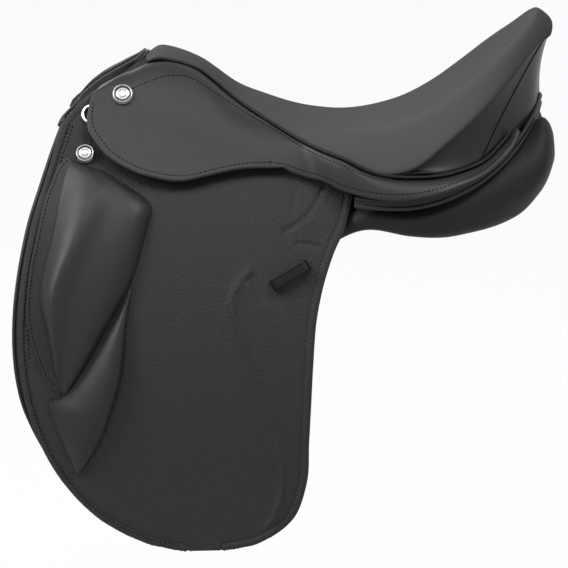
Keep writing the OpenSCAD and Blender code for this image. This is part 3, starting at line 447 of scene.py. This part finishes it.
def cantle_seam(v):
    """Count along the cantle's lines of the seam between its side and its back: a power of the way down."""
    return 6.9 - 3.85 * v ** 0.55


def edge_row(place, s, gap):
    """A path a gap above the lower edge of a surface, at counts along it, and its normals."""
    span = np.linalg.norm(place(s, 1 + 0 * s) - place(s, 0.9 + 0 * s), axis=1)
    return row_on(place, s, np.clip(1 - 0.1 * gap / np.maximum(span, 1e-6), 0.02, 1))


def edges_grid(front, rear, rows, cols, ease=0.0):
    """x and z of a grid whose rows run straight from a front curve to a rear one. ease is the share of a
    cosine that draws its columns towards both curves."""
    k = np.linspace(0, 1, cols)
    k = (1 - ease) * k + ease / 2 * (1 - np.cos(np.pi * k))
    a, b = along(front, rows)[:, None], along(rear, rows)[:, None]
    return a + (b - a) * k[None, :, None]


def raised(xz, line, fade):
    """A step up behind a line that runs down the flap: a soft rise over the signed distance, dying away
    backwards and past the line's ends."""
    path = along(line, 120)
    path = path[np.argsort(path[:, 1])]
    x, z = xz[..., 0], xz[..., 1]
    d = distance(xz, path) * np.sign(x - np.interp(z, path[:, 1], path[:, 0]))
    ends = np.clip((z - path[0, 1]) / 8, 0, 1) * np.clip((path[-1, 1] - z) / 8, 0, 1)
    return 0.5 * (1 + np.tanh(d / 1.4)) * np.exp(-np.maximum(d, 0) / fade) * ends


def flap_grid(rows=220, cols=170):
    """The flap's outer face on the side: steps rise behind the pressed lines, creases and the edge's line
    sink by bell curves of the distance from their paths, and a band under the lobe lies deeper."""
    xz = edges_grid(FLAP_FRONT, FLAP_REAR, rows, cols, 0.5)
    border = np.concatenate([along(FLAP_FRONT, 300), along(FLAP_REAR, 300)[::-1]])
    d = distance(xz, border)

    def pressed(line, count, width):
        """A bell curve of the distance from a line on the flap."""
        return hump(distance(xz, along(line, count)), width)

    below = 0.5 * (1 - np.tanh((xz[..., 1] - np.interp(xz[..., 0], *np.transpose(POCKET))) / 2))
    h = 2.6 * raised(xz, RIDGE, 45) * below + 1.5 * pressed(RIDGE, 160, 3) + 1.6 * pressed(RIDGE[:5], 60, 5)
    h += 1.8 * raised(xz, CREASE_STRONG, 24) - 2.2 * pressed(CREASE_STRONG, 60, 2.6)
    h -= 0.9 * pressed(CREASE_FAINT, 40, 2.6) + 1.8 * pressed(CREASE_LOW, 40, 2.4)
    h += 0.5 * hump(d - 2.6, 1.8) - 0.8 * hump(d - 6.5, 1.5)
    h -= 4 * pressed(LOBE_LOW[3:], 120, 16) * np.clip((d - 8) / 12, 0, 1)
    return on_side(xz, FLAP_OUT + h)


def pad_mesh(front, rear, rows, cols, height):
    """A pad on the flap: its foot lies on the side, and its face stands out level by a height that depends
    on the way down and across."""
    xz = edges_grid(front, rear, rows, cols)
    t, s = np.linspace(0, 1, rows)[:, None], np.linspace(0, 1, cols)[None]
    face, foot = on_side(xz, PAD_IN + height(t, s)), on_side(xz, PAD_IN)
    loop = rim_loop(rows, cols)
    count = rows * cols
    nxt = np.roll(loop, -1)
    walls = np.stack([loop, loop + count, nxt + count, nxt], -1)
    faces = grid_faces(rows, cols)
    return (np.concatenate([face.reshape(-1, 3), foot.reshape(-1, 3)]),
            np.concatenate([faces, faces[:, ::-1] + count, walls]))


def skewed(s, a, b):
    """A bump from 0 to 1 across a pad: a power of the way from the front times a power of the way to the
    rear, at most one."""
    top = a / (a + b)
    return s ** a * (1 - s) ** b / (top ** a * (1 - top) ** b)


def block_height(t, s):
    """The thigh block: from a low step a facet rises by a sine to a crest that lies further back at the top,
    behind it a bell curve sinks to a hollow and the body rises again, and a high power rolls that off at the
    rear edge. It dies out at its top and foot."""
    down = np.maximum(np.sin(np.pi * t ** 0.72), 0) ** 0.6
    crest = 0.16 + 0.28 * np.exp(-(t / 0.3) ** 2)
    facet = np.sin(np.pi / 2 * np.minimum(s / crest, 1))
    hollow = 1 - np.exp(-(np.maximum(s - crest, 0) / 0.16) ** 2)
    return 1.6 + down * (1 - s ** 6) * (3 + 13 * facet - 6 * hollow + 12 * s ** 1.5)


def wedge_height(t, s):
    """The lower wedge: a bump with its ridge behind its middle, from which it rolls off to its rear edge."""
    return 1.4 + 12 * np.maximum(np.sin(np.pi * t ** 1.1), 0) ** 0.8 * skewed(s, 1.5, 0.6)


def panel_mesh(rows=150, count=64):
    """The stuffed panel: flattened ovals between an inner and an outer end at each station, drawn to a
    point at both ends."""
    station = along(PANEL_ROWS, rows)
    part = np.linspace(0, 1, rows)
    station[:, 5] *= np.minimum(1, np.minimum(part, 1 - part) * 40 + 0.4) ** 0.5
    inner, outer = station[:, None, 1:3], station[:, None, 3:5]
    f = np.linspace(0, 2 * np.pi, count, endpoint=False)[None]
    w = np.sin(f)
    thick = station[:, 5:] * np.sign(w) * np.abs(w) ** 0.7
    way = unit(outer - inner)
    across = np.stack([-way[..., 1], way[..., 0]], -1)
    p = inner + (outer - inner) * ((1 - np.cos(f)) / 2)[..., None] + thick[..., None] * across
    rings = np.stack([np.broadcast_to(station[:, :1], p.shape[:2]), -p[..., 0], p[..., 1]], -1)
    first, last = (np.repeat(end.mean(1, keepdims=True), count, 1) for end in (rings[:1], rings[-1:]))
    rings = np.concatenate([first, rings, last])
    return rings.reshape(-1, 3), ring_faces(len(rings), count)


def lathe(profile, place, normal, count=48):
    """A turned piece: a profile of radius and height carried round a normal at a place."""
    n = unit(np.asarray(normal, float))
    e = unit(np.cross(n, [1, 0, 0.2]))
    g = np.cross(n, e)
    f = np.linspace(0, 2 * np.pi, count, endpoint=False)[None, :, None]
    p = np.asarray(profile, float)
    rings = place + p[:, None, :1] * (e * np.cos(f) + g * np.sin(f)) + p[:, None, 1:] * n
    return rings.reshape(-1, 3), ring_faces(len(p), count)


def side_normal(z):
    """Outward normal of the near side at heights, from the slope of its half width."""
    slope = side(z + 0.5) - side(z - 0.5)
    return unit(np.stack([0 * slope, -1 + 0 * slope, -slope], -1))


def seated(mesh, xz, out, turn):
    """A mesh drawn with its third axis outwards, laid on the side at a place and turned about that axis."""
    points, faces = mesh
    place = on_side(np.array(xz, float), out)
    normal = side_normal(np.array(xz[1], float))
    across = np.array([1.0, 0, 0])
    up = np.cross(normal, across)
    a = np.radians(turn)
    axes = np.stack([across * np.cos(a) + up * np.sin(a), up * np.cos(a) - across * np.sin(a), normal])
    return place + points @ axes, faces


def keeper_loop():
    """The keeper: a rounded strip carried over a low arch with steep feet."""
    arch = along([[-20, 0, 0.2], [-19.6, 0, 4], [-17, 0, 7.2], [-9, 0, 7.7], [0, 0, 7.8], [9, 0, 7.7],
                  [17, 0, 7.2], [19.6, 0, 4], [20, 0, 0.2]], 60)
    c, s = oval(1, 1, 24).T
    strip = np.stack([1.4 * np.sign(c) * np.abs(c) ** 0.6, 6 * np.sign(s) * np.abs(s) ** 0.35], -1)
    welts = [piping(arch[8:-8] + [0, y, 1.5], 0.5, 8) for y in (-4.2, 4.2)]
    return joined(swept(arch, strip, up=(0, 1, 0)), *welts)


def dee_wire():
    """The dee: round wire round a straight bar, two bent corners and a half circle."""
    f = np.radians(np.linspace(0, 90, 7))
    g = np.radians(np.linspace(90, -90, 25))
    corner = np.stack([2.6 * (1 - np.cos(f)), 9 - 2.6 * (1 - np.sin(f)), 0 * f], -1)
    bow = np.stack([15.6 + 9 * np.cos(g), 9 * np.sin(g), 0 * g], -1)
    line = np.concatenate([corner, bow, (corner * [1, -1, 1])[::-1]])
    return swept(line + [9, 0, 2.3], oval(1.7, 1.7, 14), closed=True)


def inside(edge, far, gap):
    """x and z of a curve moved to the side of a far point by a gap, at right angles to it."""
    path = even(along(edge, 400), 1.5)
    way = unit(np.gradient(path, axis=0))
    across = np.stack([-way[:, 1], way[:, 0]], -1)
    across = across * np.sign((across * (np.array(far) - path)).sum(1).mean())
    return path + gap * across


def side_stitches(edge, far, gap, out):
    """Stitches a gap inside an edge, on a layer of the side."""
    xz = inside(edge, far, gap)
    return stitches(on_side(xz, out), side_normal(xz[:, 1]))


def stud_rim(r, h):
    """Profile of a stud's base and rolled rim."""
    f = np.linspace(0, np.pi, 10)
    roll = np.stack([r - 1.3 - 1.3 * np.cos(np.pi - f), h * 0.55 + 0.45 * h * np.sin(f)], -1)[::-1]
    return np.concatenate([[[0.01, 0], [r, 0]], roll])


def stud_face(r, h):
    """Profile of the crowned face: a low arc with a rounded border and a turned groove."""
    s = np.linspace(0, 1, 40)
    rise = h * (0.7 + 0.3 * np.cos(np.pi / 2 * s)) - 0.5 * hump(s - 0.42, 0.07)
    return np.stack([0.01 + (r - 0.01) * np.sin(np.pi / 2 * s), rise], -1)[::-1]


class Socket:
    """A node socket of one material's tree. Arithmetic on it adds Math nodes, node() any other node."""

    def __init__(self, tree, socket=None):
        self.tree, self.socket = tree, socket

    def node(self, kind, settings=(), output=0, **values):
        """Adds a shader node: first its settings, then a number or a link for each input named, with _ for a
        space."""
        made = self.tree.nodes.new("ShaderNode" + kind)
        for name, value in dict(settings).items():
            setattr(made, name, value)
        for name, value in values.items():
            key = int(name[1:]) if name[1:].isdigit() else name.replace("_", " ")
            if isinstance(value, Socket):
                self.tree.links.new(value.socket, made.inputs[key])
            else:
                made.inputs[key].default_value = value
        return Socket(self.tree, made.outputs[output])

    def math(self, kind, a, b):
        """Adds a Math node of two inputs."""
        return self.node("Math", {"operation": kind}, i0=a, i1=b)

    def __add__(self, other):
        return self.math("ADD", self, other)

    def __sub__(self, other):
        return self.math("SUBTRACT", self, other)

    def __rsub__(self, other):
        return self.math("SUBTRACT", other, self)

    def __mul__(self, other):
        return self.math("MULTIPLY", self, other)

    __radd__, __rmul__ = __add__, __mul__


def finish_of(name, colour, roughness, metallic=0.0, paint=None, specular=0.08):
    """A material with a plain colour, whose varying roughness, colour or bump come from a paint function."""
    material = bpy.data.materials.new(name)
    material.use_nodes = True
    tree = material.node_tree
    shader = tree.nodes["Principled BSDF"]
    shader.inputs["Base Color"].default_value = (*colour, 1)
    shader.inputs["Roughness"].default_value = roughness
    shader.inputs["Metallic"].default_value = metallic
    shader.inputs["Specular IOR Level"].default_value = specular
    if paint:
        start = Socket(tree)
        for key, socket in paint(start, start.node("TexCoord", output=3)).items():
            tree.links.new(socket.socket, shader.inputs[key])
    return material


def mottled(s, at, low, high, scale):
    """Roughness that drifts between two values with a soft noise."""
    return low + (high - low) * s.node("TexNoise", Vector=at, Scale=scale, Detail=3.0)


def calf(s, at):
    """Smooth leather: fine pores as bump and a drifting gloss."""
    pores = s.node("TexNoise", Vector=at, Scale=1400.0, Detail=2.0)
    slow = s.node("TexNoise", Vector=at, Scale=60.0, Detail=3.0)
    return {"Normal": s.node("Bump", Strength=0.12, Distance=0.0004, Height=pores * 0.5 + slow * 0.6),
            "Roughness": mottled(s, at, 0.36, 0.46, 90.0)}


def hide(s, at):
    """Seat leather: soft pores as bump and a dull, drifting gloss."""
    pores = s.node("TexNoise", Vector=at, Scale=1100.0, Detail=2.0)
    return {"Normal": s.node("Bump", Strength=0.12, Distance=0.0004, Height=pores),
            "Roughness": mottled(s, at, 0.74, 0.86, 80.0)}


def grain(s, at):
    """Flap leather: rounded pebbles from cell distances over soft wrinkles."""
    pebble = s.node("TexVoronoi", {"feature": "SMOOTH_F1"}, Vector=at, Scale=700.0)
    wrinkle = s.node("TexNoise", Vector=at, Scale=330.0, Detail=4.0, Distortion=0.8)
    return {"Normal": s.node("Bump", Strength=0.9, Distance=0.001, Height=wrinkle * 0.9 - pebble * 0.8),
            "Roughness": mottled(s, at, 0.42, 0.58, 300.0)}


def soft_hide(s, at):
    """Panel leather: fine grain over slow waves."""
    fine = s.node("TexNoise", Vector=at, Scale=900.0, Detail=3.0)
    slow = s.node("TexNoise", Vector=at, Scale=35.0, Detail=2.0)
    return {"Normal": s.node("Bump", Strength=0.3, Distance=0.001, Height=fine * 0.3 + slow),
            "Roughness": mottled(s, at, 0.5, 0.64, 120.0)}


def woven(s, at):
    """Webbing: crossing ribs."""
    warp = s.node("TexWave", {"bands_direction": "X"}, Vector=at, Scale=180.0)
    weft = s.node("TexWave", {"bands_direction": "Z"}, Vector=at, Scale=180.0)
    return {"Normal": s.node("Bump", Strength=0.5, Distance=0.001, Height=warp + weft)}


def brushed(s, at):
    """Metal with a faint drift in gloss."""
    return {"Roughness": mottled(s, at, 0.2, 0.34, 400.0)}


def timber(s, at):
    """Laminated wood: a gloss that drifts with a soft noise."""
    layers = s.node("TexNoise", Vector=at, Scale=30.0, Detail=4.0)
    return {"Roughness": 0.4 + 0.3 * layers}


def seen_rays(s):
    """One for rays that show the stage itself: from the camera, in a gloss or through glass."""
    rays = s.node("LightPath").socket.node.outputs
    kinds = ("Is Camera Ray", "Is Glossy Ray", "Is Transmission Ray")
    direct, gloss, glass = (Socket(s.tree, rays[kind]) for kind in kinds)
    return s.math("MINIMUM", direct + gloss + glass, 1.0)


def pale_floor():
    """A pale floor: mostly plain white to rays that show the stage, with the object's shadow mixed in."""
    material = finish_of("floor", (0.9, 0.9, 0.9), 0.9)
    tree = material.node_tree
    s = Socket(tree)
    glow = s.node("Emission", Color=(1, 1, 1, 1), Strength=1.0)
    lit = Socket(tree, tree.nodes["Principled BSDF"].outputs[0])
    mixed = s.node("MixShader", Fac=0.95 * seen_rays(s), i1=lit, i2=glow)
    tree.links.new(mixed.socket, tree.nodes["Material Output"].inputs["Surface"])
    return material


seat_leather = finish_of("seat_leather", (0.064, 0.0633, 0.0675), 0.8, paint=hide, specular=0.03)
smooth_leather = finish_of("smooth_leather", (0.018, 0.0175, 0.0202), 0.4, paint=calf, specular=0.22)
flap_leather = finish_of("flap_leather", (0.029, 0.0284, 0.032), 0.5, paint=grain, specular=0.11)
panel_leather = finish_of("panel_leather", (0.02, 0.0194, 0.0223), 0.5, paint=soft_hide, specular=0.12)
edge_leather = finish_of("edge_leather", (0.009, 0.0087, 0.0105), 0.35, paint=calf, specular=0.13)
thread = finish_of("thread", (0.004, 0.004, 0.004), 0.7)
chrome = finish_of("chrome", (0.8, 0.81, 0.83), 0.16, 1.0, brushed)
pale_face = finish_of("stud_face", (0.36, 0.36, 0.37), 0.3, 1.0, brushed)
rim_metal = finish_of("stud_rim", (0.22, 0.22, 0.23), 0.3, 1.0, brushed)
dark_ring = finish_of("stud_ring", (0.02, 0.02, 0.02), 0.4)
steel = finish_of("forged_steel", (0.5, 0.51, 0.53), 0.3, 1.0, brushed)
canvas = finish_of("web_canvas", (0.36, 0.32, 0.24), 0.85, paint=woven)
wood = finish_of("tree_wood", (0.45, 0.3, 0.16), 0.5, paint=timber)


def piece(name, body, mesh, material, stands_for=(), side_sign=1):
    """Makes an object of a mesh in millimetres, mirrored for the off side, with its faces turned outwards."""
    points, faces = mesh
    points = points * [MM, MM * side_sign, MM]
    data = bpy.data.meshes.new(name)
    data.from_pydata(points, [], faces.tolist())
    work = bmesh.new()
    work.from_mesh(data)
    bmesh.ops.remove_doubles(work, verts=work.verts, dist=WELD)
    bmesh.ops.recalc_face_normals(work, faces=work.faces)
    work.to_mesh(data)
    work.free()
    data.shade_smooth()
    data.set_sharp_from_angle(angle=SHARP)
    data.materials.append(material)
    obj = bpy.data.objects.new(name, data)
    bpy.context.scene.collection.objects.link(obj)
    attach(obj, body)
    if stands_for:
        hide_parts(*stands_for)
    return obj


# Pieces on the middle
seat = piece("seat", "saddle", shell(*seat_skin(260, 80), SEAT_T, (0, 0, 1)), seat_leather,
             ["seat_cover", "seat_foam"])

# Pommel facing: a strip hollowed by a parabola between two rings, with two pipings and a cheek on each side
ring, ring_in = whole(along(FACING_OUTER, 60)), whole(along(FACING_INNER, 60))
k = np.linspace(0, 1, 20)[None, :, None]
facing = ring[:, None] + (ring_in - ring)[:, None] * k - np.array([16, 0, 0]) * k * (1 - k)
outer, brow = along(FACING_OUTER[1:8], 60), along([CHEEK_START] + SKIRT_TOP[:6], 60) + [0, 2.4, -1.5]
k = np.linspace(0, 1, 24)[None, :, None]
cheek = outer[:, None] + (brow - outer)[:, None] * k + [2, 0, -1] - np.array([0, 0, 10]) * k * (1 - k)
pommel = joined(sheet(facing, FACING_T, (-1, 0, 0)),
                piping(ring + [1, 0, -0.6], 1.8), piping(ring + [4.4, 0, -1.6], 1.6),
                sheet(cheek, CHEEK_T, (0, -0.5, 1)), sheet(cheek * [1, -1, 1], CHEEK_T, (0, 0.5, 1)))
piece("pommel_strip", "saddle", pommel, smooth_leather, ["pommel_facing"])

# Back of the cantle, from the seam to the mid plane
cantle_down = np.linspace(0, 1.12, 60)[:, None]
seam = np.minimum(cantle_seam(cantle_down) + SEAM_GAP, 6.96)
back = cantle_at(seam + (len(CANTLE_TOP) - 1 - seam) * np.linspace(0, 1, 50), cantle_down * np.ones(50))
back[:, -1, 1] = 0
piece("cantle_rear", "saddle", sheet(whole(back, 1), CANTLE_T, (1, 0, 0.2)), smooth_leather,
      ["cantle_back"])

# Lining: a curve at each station from the panel's inner end to the roof, and a first row at the pommel facing
roof_x, roof_z = along(LINING, 90).T
stations = np.array(PANEL_ROWS)
inner_y = np.interp(roof_x, stations[:, 0], stations[:, 1]) - 1.2
inner_z = np.interp(roof_x, stations[:, 0], stations[:, 2]) + 0.7
flat = LINING_HALF + 0 * roof_x
line = np.stack([[inner_y, inner_z], [(inner_y + flat) / 2, (inner_z + roof_z) / 2], [flat, roof_z - 0.5],
                 [0 * flat, roof_z]]).transpose(0, 2, 1)
half = spline(line, np.linspace(0, 3, 30)).transpose(1, 0, 2)
half = np.stack([np.broadcast_to(roof_x[:, None], half.shape[:2]), -half[..., 0], half[..., 1]], -1)
half = np.concatenate([along(FACING_INNER[4:], 30)[None] + [1, 0, -1], half])
piece("gullet_roof", "saddle", sheet(whole(half, 1), LINING_T, (0, 0, 1)), panel_leather,
      ["gullet_lining"])

for name, sign in (("near", 1), ("off", -1)):
    def add(label, body, mesh, material, slot, *stands_for):
        """Adds a piece of this side."""
        rides = body if body == "saddle" else f"{name}_{body}"
        nodes = [f"{name}_{node}" for node in stands_for]
        return piece(f"{name}_{label}", rides, mesh, material, nodes, sign)

    # Seat's welt, skirt and lobe
    welt = piping(even(along(WELT, 300), 2), WELT_R)
    add("welt_cord", "saddle", welt, edge_leather, "edge_leather", "welt")
    t = np.linspace(0, 1, 40)
    s = np.linspace(0, len(SKIRT_TOP) - 1, 220)
    row, column = np.divmod(rim_loop(len(s), len(t)), len(t))
    lip = np.where(column == len(t) - 1, EDGE_LIP * np.clip((s[row] - 8) / 0.3, 0, 1), EDGE_LIP)
    skirt = sheet(skirt_at(*np.meshgrid(s, t, indexing="ij")), SKIRT_T, (0, -1, 0.5), lip)
    add("skirt_leather", "saddle", skirt, smooth_leather, "smooth_leather", "skirt")
    s = np.linspace(0, 1, 120)
    row, column = np.divmod(rim_loop(len(s), len(t)), len(t))
    lip = np.where(column == 0, 0, EDGE_LIP * np.clip((1 - s[row]) / 0.05, 0, 1))
    lobe = sheet(lobe_at(*np.meshgrid(s, t, indexing="ij")), SKIRT_T, (0, -1, 0.5), lip)
    add("lobe_leather", "lobe_body", lobe, smooth_leather, "smooth_leather", "skirt_lobe")

    # Cantle's side, panel and its band
    grid = cantle_at((cantle_seam(cantle_down) - SEAM_GAP) * np.linspace(0, 1, 70), cantle_down * np.ones(70))
    cantle = sheet(grid, CANTLE_T, (0.3, -1, 0))
    add("cantle_leather", "saddle", cantle, smooth_leather, "smooth_leather", "cantle_side")
    panel = add("stuffed_panel", "saddle", panel_mesh(), panel_leather, "panel_leather", "panel")
    band = along(BAND, 120)
    beads = [piping(band + [0.3, -1.2, z], BEAD_R) for z in (3.2, -4.2)]
    gusset = joined(swept(band, oval(1.6, 4.6, 24)), *beads)
    add("panel_gusset", "saddle", gusset, smooth_leather, "smooth_leather", "panel_band")

    # Sweat flap and flap
    sweat = sheet(on_side(edges_grid(SWEAT_FRONT, SWEAT_REAR, 120, 60), SWEAT_OUT), SWEAT_T, (0, -1, 0))
    binding = piping(on_side(along(SWEAT_FRONT, 160), SWEAT_OUT - 1.4), BEAD_R)
    add("sweat_leather", "saddle", joined(sweat, binding), smooth_leather, "flap_leather", "sweat_flap")
    flap = sheet(flap_grid(), FLAP_T, (0, -1, 0))
    add("flap_leather", "flap_body", flap, flap_leather, "flap_leather", "flap")

    # Strip, thigh block and wedge on the flap
    strip_rear = [[x + 0.5, z] for x, z in BLOCK_FRONT]
    strip_face = on_side(edges_grid(STRIP_FRONT, strip_rear, 120, 16), PAD_IN + STRIP_T)
    strip = sheet(strip_face, STRIP_T, (0, -1, 0))
    add("strip_leather", "flap_body", strip, smooth_leather, "smooth_leather", "block_strip")
    block_pad = pad_mesh(BLOCK_FRONT, BLOCK_REAR, 140, 90, block_height)
    block = add("block_leather", "flap_body", block_pad, smooth_leather, "smooth_leather", "thigh_block")
    wedge_pad = pad_mesh(WEDGE_FRONT, WEDGE_REAR, 120, 60, wedge_height)
    wedge = add("wedge_leather", "flap_body", wedge_pad, smooth_leather, "smooth_leather", "thigh_wedge")

    # Studs
    place, normal = row_on(skirt_at, *np.array(POMMEL_STUD)[:, None])
    lean = np.array([0, -1, SIDE_SLOPE]) / np.hypot(1, SIDE_SLOPE)
    studs = (("pommel_button", "saddle", place[0], normal[0], POMMEL_STUD_R, "pommel_stud"),
             ("block_button", "flap_body", on_side(np.array(BLOCK_STUD), PAD_IN), lean, BLOCK_STUD_R,
              "block_stud"))
    for label, body, at, n, r, node in studs:
        foot = at + 0.5 * n
        add(label, body, lathe(stud_rim(r, STUD_H), foot, n), rim_metal, "chrome", node)
        add(label + "_ring", body, lathe([[r - 2.2, 2.2], [0.01, 2.2]], foot, n), dark_ring, "edge_leather")
        add(label + "_face", body, lathe(stud_face(r * 0.66, STUD_H), foot, n), pale_face, "chrome")

    # Keeper and dee
    add("keeper_strap", "flap_body", seated(keeper_loop(), KEEPER_AT, PAD_IN, KEEPER_TURN), edge_leather,
        "edge_leather", "keeper")
    add("dee_ring", "dee_body", seated(dee_wire(), DEE_AT, PAD_IN, DEE_TURN), chrome, "chrome", "dee")

    # Stitching
    s, v = np.linspace(7.72, 18.4, 500), np.linspace(0.02, 1, 80)
    high = stitches(*row_on(skirt_at, *along(STITCH_HIGH, 600).T))
    low = stitches(*edge_row(skirt_at, s, 4.5 * np.clip((s - 7.7) / 0.4, 0.1, 1)))
    seam_cord = piping(cantle_at(cantle_seam(v), v), SEAM_R)
    add("skirt_stitches", "saddle", joined(high, low, seam_cord), thread, "edge_leather")
    flap_mid, block_mid = (-150, -100), (-250, -50)
    seams = ((FLAP_FRONT[1:], flap_mid, 4.6, FLAP_OUT), (FLAP_FRONT[1:7], flap_mid, 8.4, FLAP_OUT),
             (STRIP_FRONT, flap_mid, 2.5, PAD_IN + STRIP_T), (WEDGE_FRONT[5:], flap_mid, 1.5, PAD_IN + 1.4),
             (BLOCK_REAR[1:8], block_mid, 1.5, PAD_IN + 1.8))
    flap_rows = [side_stitches(*seam_line) for seam_line in seams]
    add("flap_stitches", "flap_body", joined(*flap_rows), thread, "edge_leather")
    lobe_row = edge_row(lobe_at, np.linspace(0.01, 0.95, 400), 5)
    add("lobe_stitches", "lobe_body", stitches(*lobe_row), thread, "edge_leather")

# CAD nodes that show keep their shape and get the finish of the word in their name
CAD_FINISHES = {
    "strap": flap_leather, "flap_top": flap_leather, "chape": edge_leather, "rivet": chrome, "bar": steel,
    "catch": steel, "pin": steel, "head_plate": steel, "web": canvas, "saddle_tree": wood}
for label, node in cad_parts.items():
    for key, finish in CAD_FINISHES.items():
        if key in label:
            node.data.materials.clear()
            node.data.materials.append(finish)

# Stage, light and camera, in metres. AMBIENT is the world's light on the object, where one is white, and the
# camera looks 13 degrees down
FLOOR_HALF, FLOOR_Z, AMBIENT = 30, -0.6, 0.15
CAMERA_AT, CAMERA_WAY = (-0.0478, -2.28, 0.4325), (0, 0.97437, -0.22495)
floor_data = bpy.data.meshes.new("floor")
corners = [(x * FLOOR_HALF, y * FLOOR_HALF, FLOOR_Z) for x, y in ((-1, -1), (1, -1), (1, 1), (-1, 1))]
floor_data.from_pydata(corners, [], [(0, 1, 2, 3)])
floor_data.materials.append(pale_floor())
floor = bpy.data.objects.new("floor", floor_data)
bpy.context.scene.collection.objects.link(floor)

world = bpy.data.worlds.new("studio")
bpy.context.scene.world = world
world.use_nodes = True
sky = Socket(world.node_tree)
level = world.node_tree.nodes["Background"]
world.node_tree.links.new((AMBIENT + (1 - AMBIENT) * seen_rays(sky)).socket, level.inputs["Strength"])
level.inputs["Color"].default_value = (1, 1, 1, 1)


def softbox(name, at, aim, wide, high, power):
    """A large soft lamp at a place, turned to a point, with its width, height and power in watts."""
    lamp = bpy.data.lights.new(name, "AREA")
    lamp.shape, lamp.size, lamp.size_y, lamp.energy = "RECTANGLE", wide, high, power
    obj = bpy.data.objects.new(name, lamp)
    obj.location = at
    obj.rotation_euler = (Vector(aim) - Vector(at)).to_track_quat("-Z", "Y").to_euler()
    bpy.context.scene.collection.objects.link(obj)


softbox("key", (-0.45, -1.35, 2.2), (-0.05, 0, 0), 0.9, 0.9, 18)
softbox("left", (-2.0, -0.9, 1.6), (-0.05, 0, 0), 0.8, 1.7, 56)
softbox("right", (1.0, -1.1, 2.2), (0, 0, 0), 1.0, 1.0, 35)
softbox("back", (-1.5, 1.8, 1.7), (0, 0, 0), 1.0, 1.0, 21)

lens = bpy.data.cameras.new("camera")
lens.lens, lens.sensor_width = 140, 36
camera = bpy.data.objects.new("camera", lens)
camera.location = CAMERA_AT
camera.rotation_euler = Vector(CAMERA_WAY).to_track_quat("-Z", "Y").to_euler()
bpy.context.scene.collection.objects.link(camera)
bpy.context.scene.camera = camera
bpy.context.scene.view_settings.view_transform = "Standard"
